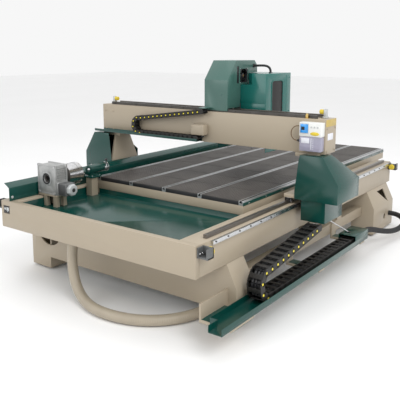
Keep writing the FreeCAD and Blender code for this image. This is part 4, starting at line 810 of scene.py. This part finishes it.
POST_NEAR, POST_FAR = 955, 985
kit = Kit()
for side in SIDES:
    base, top = X_STOP_LOW.z, X_STOP_HIGH.z
    kit.side_box(side, (POST_NEAR, POST_FAR), (X_STOP_LOW.y, X_STOP_HIGH.y), (base, base + 12), GREY, bevel=2)
    kit.side_box(side, (POST_NEAR + 4, POST_FAR - 4), (X_STOP_LOW.y + 4, X_STOP_HIGH.y - 4), (base + 10, top),
                 GREY, bevel=3)
    kit.lathe(INWARD[side], (side * POST_NEAR, -245, 1180),
              [(-4, 16), (0, 16), (4, 16), (22, 16), (26, 13), (27, 10)], YELLOW)
    kit.bolt("+Z", (side * 970, -245, top - 0.8), 3.5)
kit.done("x_stops_made", "gantry", ["x_stops"])

left, near, base = CHAIN_BOX_LOW
right, far, top = CHAIN_BOX_HIGH
kit = Kit()
kit.box((left, near, base), (right, far, top - 2), BEIGE, bevel=9)
kit.box((left + 6, near + 10, top - 4), (right - 6, far - 6, top), BEIGE, bevel=2)
for x in (left + 14, right - 14):
    kit.bolt("-Y", (x, near, 1024), 4, BEIGE)
kit.rod("-Z", (52, -372, base + 2), 11, 18, BLACK, bevel=3)
kit.done("head_chain_box_made", "gantry", ["head_chain_box"])

left, base = CASE_LOW.x, CASE_LOW.z
face = -400
kit = Kit()
kit.box((left, face, base), CASE_HIGH, WHITE, bevel=5)
kit.box((left + 6, face - 2, base + 18), (left + 70, face + 1, base + 88), GREY, bevel=1.5)
kit.box((left + 10, face - 2.6, base + 24), (left + 66, face - 1, base + 82), SCREEN, bevel=1)
kit.box((left + 17, face - 3.2, base + 42), (left + 41, face - 2, base + 64), SMOKE, bevel=0.6)
bm = bmesh.new()
bmesh.ops.create_uvsphere(bm, u_segments=32, v_segments=12, radius=1)
kit.add(bm, YELLOW, Matrix.Translation((968, face - 0.5, 1049)) @ Matrix.Diagonal((32, 5, 12, 1)))
for i in range(3):
    kit.lathe("-Y", (944 + 22 * i, face, 1092), [(0, 6), (2, 6), (3.4, 5), (3.8, 3)], GREY, sides=24)
kit.rod("-X", (left, -372, 1092), 6, 5, BRASS, bevel=1)
kit.done("lubricator_case_made", "gantry", ["lubricator_case"])

right, face, base = TANK_HIGH.x, TANK_LOW.y, TANK_LOW.z
kit = Kit()
kit.box((857, face, base), TANK_HIGH, TANK, bevel=7)
kit.box((863, face + 6, base + 5), (right - 6, TANK_HIGH.y - 6, base + 46), OIL, bevel=5)
kit.box((872, face - 1, base + 55), (930, face + 0.4, base + 89), LABEL, bevel=0.5)
kit.box((940, face - 1, base + 15), (944, face + 0.4, base + 89), LABEL, bevel=0.5)
for i in range(6):
    z = base + 19 + 12 * i
    kit.box((948, face - 1, z), (960, face + 0.2, z + 2), LABEL, bevel=0.3)
kit.rod("-X", (858, -374, 994), 9, 18, BLACK, bevel=2)
kit.rod("-X", (842, -374, 994), 7, 10, BLACK, bevel=1.5)
kit.done("lubricator_tank_made", "gantry", ["lubricator_tank"])


def louvre(kit, x, side, y, z, length, tall, mat):
    """A pressed vent: a half-round hood over a dark slot."""
    kit.box((x - 0.6, y - length / 2, z - tall), (x + 0.6, y + length / 2, z - tall + 3.2), BLACK, bevel=0.2)
    bm = bmesh.new()
    steps = 8
    rows = []
    for i in range(steps + 1):
        turn = math.pi / 2 * i / steps
        out = 5.2 * math.cos(turn)
        up = z - tall + 3 + (tall - 3) * math.sin(turn)
        rows.append([bm.verts.new((x + side * out, y + s * (length / 2 - 3 * (1 - math.cos(turn))), up))
                     for s in (-1, 1)])
        rows[-1] += [bm.verts.new((x - side * 0.1, y + s * (length / 2 + 1.5), up)) for s in (-1, 1)]
    for a, b in zip(rows, rows[1:]):
        bm.faces.new((a[0], a[1], b[1], b[0]))
        bm.faces.new((a[2], a[0], b[0], b[2]))
        bm.faces.new((a[1], a[3], b[3], b[1]))
    kit.add(bm, mat)


kit = Kit()
for side in SIDES:
    for y in (-300, -192):
        for row in range(3):
            louvre(kit, side * 1146.8, side, y, 715 - 26 * row, 52, 13, GREEN)
    for y in (-410, -90):
        kit.bolt(OUTWARD[side], (side * 1146.4, y, 622), 3.6, GREEN)
    for y, z, xs in ((-426, 622, (905, 1010, 1120)), (-408, 480, (905, 1045))):
        for x in xs:
            kit.bolt("-Y", (side * x, y, z), 3.6, GREEN)
kit.done("cover_vents", "gantry")


# Head trim --------

wall = HEAD_HIGH.x
kit = Kit()
kit.box((wall - 7, -196, 1342), (wall - 2.5, -168, 1467), BLACK, bevel=0.5)
for i in range(7):
    kit.box((wall - 3, -195, 1350 + 17 * i), (wall - 0.4, -169, 1354 + 17 * i), BLACK, bevel=0.6)
for z in (1347, 1447):
    for y in (-150, -50):
        kit.bolt("+X", (wall, y, z), 3)
# These bolts take the head cover's lighter teal, a painted sheen.
for y in (-300, -162):
    for z in (1190, 1330):
        kit.bolt("+X", (wall, y, z), 3.4, SHEEN_TEAL)
        kit.bolt("-X", (HEAD_LOW.x, y, z), 3.4, SHEEN_TEAL)
kit.ring("+X", (wall, 40, 1469), 15, 9.2, 6, BLACK)
kit.done("head_cover_trim", "carriage")


def reflection_patch_line(out):
    """The edge of the dark patch on the side wall, a painted reflection, as (Y, Z) points, moved out by a
    distance: open below, round above.
    """
    near, far, base, top, corner = -52, 110, 862, 1360, 25
    radius = corner + out
    points = [(near - out, base)]
    for middle, first in ((near + corner, math.pi), (far - corner, math.pi / 2)):
        for i in range(9):
            turn = first - math.pi / 2 * i / 8
            points.append((middle + radius * math.cos(turn), top - corner + radius * math.sin(turn)))
    return points + [(far + out, base)]


wall, top = SPINDLE_HIGH.x, SPINDLE_HIGH.z
kit = Kit()
bm = bmesh.new()
layers = [[bm.verts.new((x, y, z)) for y, z in reflection_patch_line(out)]
          for x, out in ((wall, 0), (wall + 2.2, 0), (wall + 2.2, 7), (wall, 7))]
for near, far in zip(layers, layers[1:]):
    for i in range(len(near) - 1):
        bm.faces.new((near[i], near[i + 1], far[i + 1], far[i]))
kit.add(bm, TEAL)
for z in (880, 1120, 1380):
    for y in (-128, 220):
        kit.bolt("+X", (wall, y, z), 3.4, TEAL)
for x in (300, 400):
    kit.bolt("+Z", (x, 20, top), 3.4)
kit.ring("+Z", (370, 62, top), 15, 9.2, 6, BLACK)
kit.box((wall - 1.6, 168, 860), (wall + 1.2, 171, 1400), TEAL, bevel=0.5)
# A skirt below the cover's near wall hides the saddle from the front.
kit.box((236.5, SPINDLE_LOW.y, 1118), (wall - 1, SPINDLE_LOW.y + 1.8, 1196), TEAL, bevel=0.3)
kit.done("spindle_cover_trim", "carriage")

FAN_Y, FAN_Z = -100, 1397


def fan_blade(kit, spin, hub=16, length=30, sections=8, points=5):
    """A twisted blade: its sections sweep round and narrow towards the tip."""
    bm = bmesh.new()
    rows = []
    for j in range(sections + 1):
        share = j / sections
        radius = hub + length * share
        half = 0.36 - 0.06 * share
        row = []
        for k in range(points):
            across = k / (points - 1)
            turn = 0.55 * share + half * (across - 0.5) * 2
            place = (FAN_LOW.x + 2.3 + 7 * across, radius * math.cos(turn), radius * math.sin(turn))
            row.append(bm.verts.new(place))
        rows.append(row)
    for a, b in zip(rows, rows[1:]):
        for k in range(points - 1):
            bm.faces.new((a[k], a[k + 1], b[k + 1], b[k]))
    bmesh.ops.solidify(bm, geom=bm.faces[:], thickness=1.0)
    kit.add(bm, BLACK, Matrix.Translation((0, FAN_Y, FAN_Z)) @ Matrix.Rotation(spin, 4, "X"))


kit = Kit()
kit.lathe("+X", (FAN_LOW.x, FAN_Y, FAN_Z), [(0, 15), (1, 18), (9, 18), (12, 14)], BLACK, sides=40)
kit.rod("+X", (FAN_HIGH.x - 0.2, FAN_Y, FAN_Z), 10, 0.4, BROWN, bevel=0.1)
for i in range(7):
    fan_blade(kit, FULL_TURN * i / 7)
kit.done("fan_rotor_made", "fan", ["fan_rotor"])


# Cable chains --------

def link_mesh(kit, matrix, pitch, half, wide, outer_side, caps):
    """One link: two side plates, two cross bars, three cables and a yellow pin cap on the outer plate.

    Its length lies along u, its height along v and its width along w.
    """
    plate_thick = 7
    bar_tall = 4.5
    round_end = half * 0.55
    reach = pitch / 2 + half * 0.42 - round_end
    plate = []
    for sign in (1, -1):
        for i in range(9):
            turn = sign * math.pi / 2 - math.pi * i / 8
            plate.append((sign * reach + round_end * math.cos(turn), half * 0.92 * math.sin(turn)))
    for at in (0, wide - plate_thick):
        kit.add(extrude(plate, at, at + plate_thick), PLASTIC, matrix)
    for v in (-half, half - bar_tall):
        bm = bmesh.new()
        bmesh.ops.create_cube(bm, size=1)
        bm.transform(Matrix.Diagonal((pitch * 0.44, bar_tall, wide - 2, 1)))
        bmesh.ops.bevel(bm, geom=bm.edges[:], offset=1.4, segments=2, profile=0.5, affect="EDGES")
        kit.add(bm, PLASTIC, matrix @ Matrix.Translation((0, v + bar_tall / 2, wide / 2)))
    lengthwise = Matrix.Rotation(math.pi / 2, 4, "Y")
    for share in (0.27, 0.5, 0.73):
        bm = bmesh.new()
        bmesh.ops.create_cone(bm, cap_ends=True, segments=14, radius1=half * 0.4, radius2=half * 0.4,
                              depth=pitch * 1.05)
        kit.add(bm, BLACK, matrix @ Matrix.Translation((0, 0, wide * share)) @ lengthwise)
    if not caps:
        return
    cap = 0 if outer_side < 0 else wide
    bm = bmesh.new()
    bmesh.ops.create_cone(bm, cap_ends=True, segments=20, radius1=half * 0.33, radius2=half * 0.27, depth=2.0)
    flip = Matrix.Rotation(math.pi, 4, "X") if outer_side < 0 else Matrix.Identity(4)
    kit.add(bm, DOT, matrix @ Matrix.Translation((-pitch / 2, 0, cap + outer_side * 0.6)) @ flip)


def chain(to_frame, pitch, half, wide, low_from, low_z, bend_at, radius, high_to, slope, outer_side):
    """A chain's links in three groups: lower run, bend and upper run."""
    rise = math.radians(slope)
    lower = abs(low_from - bend_at)
    arc = (math.pi + rise) * radius
    upper = abs(high_to - bend_at) / math.cos(rise)
    total = lower + arc + upper
    count = round(total / pitch)
    pitch = total / count
    kits = {"lower": Kit(), "bend": Kit(), "upper": Kit()}
    for i in range(count):
        s = (i + 0.5) * pitch
        if s < lower:
            part, u, v, turn = "lower", low_from - s, low_z, math.pi
        elif s < lower + arc:
            sweep = (s - lower) / radius
            part = "bend"
            u = bend_at - radius * math.sin(sweep)
            v = low_z + radius - radius * math.cos(sweep)
            turn = math.pi - sweep
        else:
            far = s - lower - arc
            part = "upper"
            base_u = bend_at - radius * math.sin(math.pi + rise)
            base_v = low_z + radius - radius * math.cos(math.pi + rise)
            u = base_u + far * math.cos(rise)
            v = base_v + far * math.sin(rise)
            turn = rise
        local = Matrix.Translation((u, v, 0)) @ Matrix.Rotation(turn, 4, "Z")
        link_mesh(kits[part], to_frame @ local, pitch, half, wide, outer_side, part != "lower")
    return kits


# Along the table: u is Y, v is Z and w is X.
TO_Y = Matrix(((0, 0, 1, 940), (1, 0, 0, 0), (0, 1, 0, 0), (0, 0, 0, 1)))
kits = chain(TO_Y, pitch=66, half=25, wide=94, low_from=230, low_z=182, bend_at=-1060, radius=80,
             high_to=-402, slope=8.0, outer_side=1)
pieces = {part: kits[part].to_piece("y_chain_" + part) for part in kits}
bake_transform(pieces["lower"])
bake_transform(pieces["bend"])
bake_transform(pieces["upper"])
for piece in pieces.values():
    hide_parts("y_chain")

# Along the gantry: u is X, v is Z and w is Y, with its outer plate on the near side.
TO_X = Matrix(((1, 0, 0, 0), (0, 0, 1, -406), (0, 1, 0, 0), (0, 0, 0, 1)))
kits = chain(TO_X, pitch=44, half=18, wide=60, low_from=20, low_z=938, bend_at=-560, radius=58, high_to=62,
             slope=8.0, outer_side=-1)
pieces = {part: kits[part].to_piece("head_chain_" + part) for part in kits}
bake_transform(pieces["lower"])
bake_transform(pieces["bend"])
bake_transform(pieces["upper"])
for piece in pieces.values():
    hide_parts("head_chain")


# Cords --------

def spline(name, route):
    """A smooth line with the route's points as control points, in millimetres."""
    curve = bpy.data.curves.new(name, "CURVE")
    curve.dimensions = "3D"
    line = curve.splines.new("NURBS")
    line.points.add(len(route) - 1)
    for point, place in zip(line.points, route):
        point.co = (*[v * MM for v in place], 1)
    line.order_u = 3
    line.use_endpoint_u = True
    line.resolution_u = 40
    return placed(name, curve)


def ribbed_tube(name, route, radius, depth, pitch, mat, sides=32):
    """A tube along the route's smooth line, with shallow ribs; returns the piece and the line's points."""
    line = spline(name + "_line", route)
    read = bpy.data.meshes.new_from_object(line)
    points = [v.co.copy() for v in read.vertices]
    bpy.data.meshes.remove(read)
    bpy.data.objects.remove(line)
    runs = [0.0]
    for near, far in zip(points, points[1:]):
        runs.append(runs[-1] + (far - near).length)
    step = pitch * MM / 4
    count = int(runs[-1] / step)
    bm = bmesh.new()
    rings = []
    side_way = None
    at = 0
    for i in range(count + 1):
        want = runs[-1] * i / count
        while at < len(runs) - 2 and runs[at + 1] < want:
            at += 1
        share = (want - runs[at]) / max(1e-9, runs[at + 1] - runs[at])
        centre = points[at].lerp(points[at + 1], share)
        ahead = (points[at + 1] - points[at]).normalized()
        if side_way is None:
            side_way = ahead.orthogonal().normalized()
        side_way = (side_way - ahead * side_way.dot(ahead)).normalized()
        up = ahead.cross(side_way)
        wide = (radius - (depth if i % 4 in (2, 3) else 0)) * MM
        rings.append([bm.verts.new(centre + x * side_way + y * up) for x, y, _ in around(wide, 0, sides)])
    bridge(bm, rings)
    cap_ends(bm, rings)
    bmesh.ops.recalc_face_normals(bm, faces=bm.faces)
    return make_piece(name, bm, [mat], 60), points


HOSE_ROUTE = [
    (-200, -1432, 440), (-200, -1432, 390), (-211, -1440, 310), (-206, -1446, 225), (-182, -1456, 145),
    (-132, -1474, 82), (-52, -1502, 45), (50, -1540, 37), (165, -1556, 35), (285, -1548, 35.5),
    (400, -1514, 35), (500, -1452, 35.5), (578, -1366, 35), (630, -1262, 35.5), (650, -1150, 35),
    (640, -1040, 35), (600, -930, 35),
]
CONDUIT_ROUTE = [
    (1010, 446, 190), (1010, 500, 190), (1014, 575, 178), (1022, 660, 154), (1034, 750, 126),
    (1050, 845, 100), (1068, 940, 82), (1082, 1035, 74), (1088, 1125, 78), (1085, 1210, 90),
    (1062, 1265, 104), (1020, 1307, 118), (965, 1330, 128), (905, 1330, 128),
]
OIL_ROUTE = [
    (855, -372, 1092), (836, -372, 1092), (815, -374, 1088), (798, -376, 1076), (788, -378, 1058),
    (786, -378, 1037), (790, -377, 1017), (802, -375, 1001), (818, -374, 994), (832, -374, 994),
]
HEAD_ROUTE = [
    (235, 40, 1469), (265, 40, 1469), (300, 44, 1471), (338, 52, 1469), (359, 58, 1458),
    (370, 62, 1438), (370, 62, 1415),
]

# The port under the tray, and the loose coupling on the hose's free end.
PORT_X, PORT_Y = -200, -1432
kit = Kit()
kit.lathe("+Z", (PORT_X, PORT_Y, 440),
          [(0, 38.5), (1.5, 40), (50, 40), (50, 54.5), (51.5, 56), (60, 56)], BLACK, sides=48)
for i in range(4):
    turn = math.pi / 4 + math.pi / 2 * i
    kit.bolt("-Z", (PORT_X + 48 * math.cos(turn), PORT_Y + 48 * math.sin(turn), 490), 4)
kit.done("hose_port", "frame", ["hose_fittings"])
kit = Kit()
along_hose = Vector((-40, 110, 0)).to_track_quat("Z", "Y").to_matrix().to_4x4()
kit.lathe(along_hose, (600, -930, 35),
          [(0, 33.2), (1.5, 34.5), (16, 34.5), (17, 33.7), (21, 33.7), (22, 34.5), (36, 34.5), (37, 33.7),
           (41, 33.7), (42, 34.5), (59, 34.5), (60, 34.8), (77, 34.8), (78, 34), (78, 28.8), (77, 28),
           (20, 28)],
          BLACK, sides=48)
coupling = kit.done("hose_coupling", "frame", ["hose_fittings"])

# Route, radius, rib depth, rib pitch, finish, body, slot, length, far end, stiffness, pieces on it.
CORDS = {
    "vacuum_hose": (HOSE_ROUTE, 33, 0.6, 13, HOSE, "frame", "hose", 1.624, "fitting", "stiff", [coupling]),
    "rear_conduit": (CONDUIT_ROUTE, 22, 1.6, 9, CONDUIT, "frame", "conduit", 1.024, "object", "medium", []),
    "lube_tube": (OIL_ROUTE, 3, 0.0, 8, BROWN, "gantry", "oil_line", 0.173, "object", "stiff", []),
    "head_conduit": (HEAD_ROUTE, 9, 0.7, 5, CONDUIT, "carriage", "conduit", 0.173, "object", "medium", []),
}
for name, cord in CORDS.items():
    route, radius, depth, pitch, mat, body, slot, length, far_end, stiffness, on_it = cord
    piece, points = ribbed_tube(name + "_made", route, radius, depth, pitch, mat)
    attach(piece, body)
    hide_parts(name)


# Stage, light and camera --------

bpy.ops.mesh.primitive_plane_add(size=60, location=(0, 0, 0))
floor = bpy.context.object
floor.name = "floor"
floor.data.materials.append(surface("pale_floor", (0.93, 0.93, 0.93), 0.6, mottle=0.01, patch=0.6, bump=0.02))

world = bpy.data.worlds.new("studio")
world.use_nodes = True
world.node_tree.nodes["Background"].inputs["Color"].default_value = (1.0, 1.0, 1.0, 1)
world.node_tree.nodes["Background"].inputs["Strength"].default_value = 0.93
bpy.context.scene.world = world


def softbox(name, place, target, size, power):
    light = bpy.data.lights.new(name, "AREA")
    light.shape = "RECTANGLE"
    light.size, light.size_y = size
    light.energy = power
    lamp = placed(name, light)
    lamp.location = place
    lamp.rotation_euler = (Vector(target) - Vector(place)).to_track_quat("-Z", "Y").to_euler()


softbox("key", (4.5, -2.5, 4.5), (0.3, 0, 0.6), (3.5, 3.0), 150)
softbox("front", (-2.5, -6.0, 3.0), (0, -0.5, 0.5), (4.0, 3.0), 62)
softbox("top", (-0.5, 1.0, 6.0), (0, 0, 0.6), (5.0, 5.0), 60)

camera = bpy.data.cameras.new("camera")
camera.lens = 53.25
camera.sensor_width = 36
camera.shift_y = -0.12
camera.clip_end = 200
eye = placed("camera", camera)
eye.location = (2.62, -3.89, 1.579)
eye.rotation_euler = (math.radians(90 - 9.69), 0, math.radians(36.4))
bpy.context.scene.camera = eye
bpy.context.scene.view_settings.view_transform = "Standard"
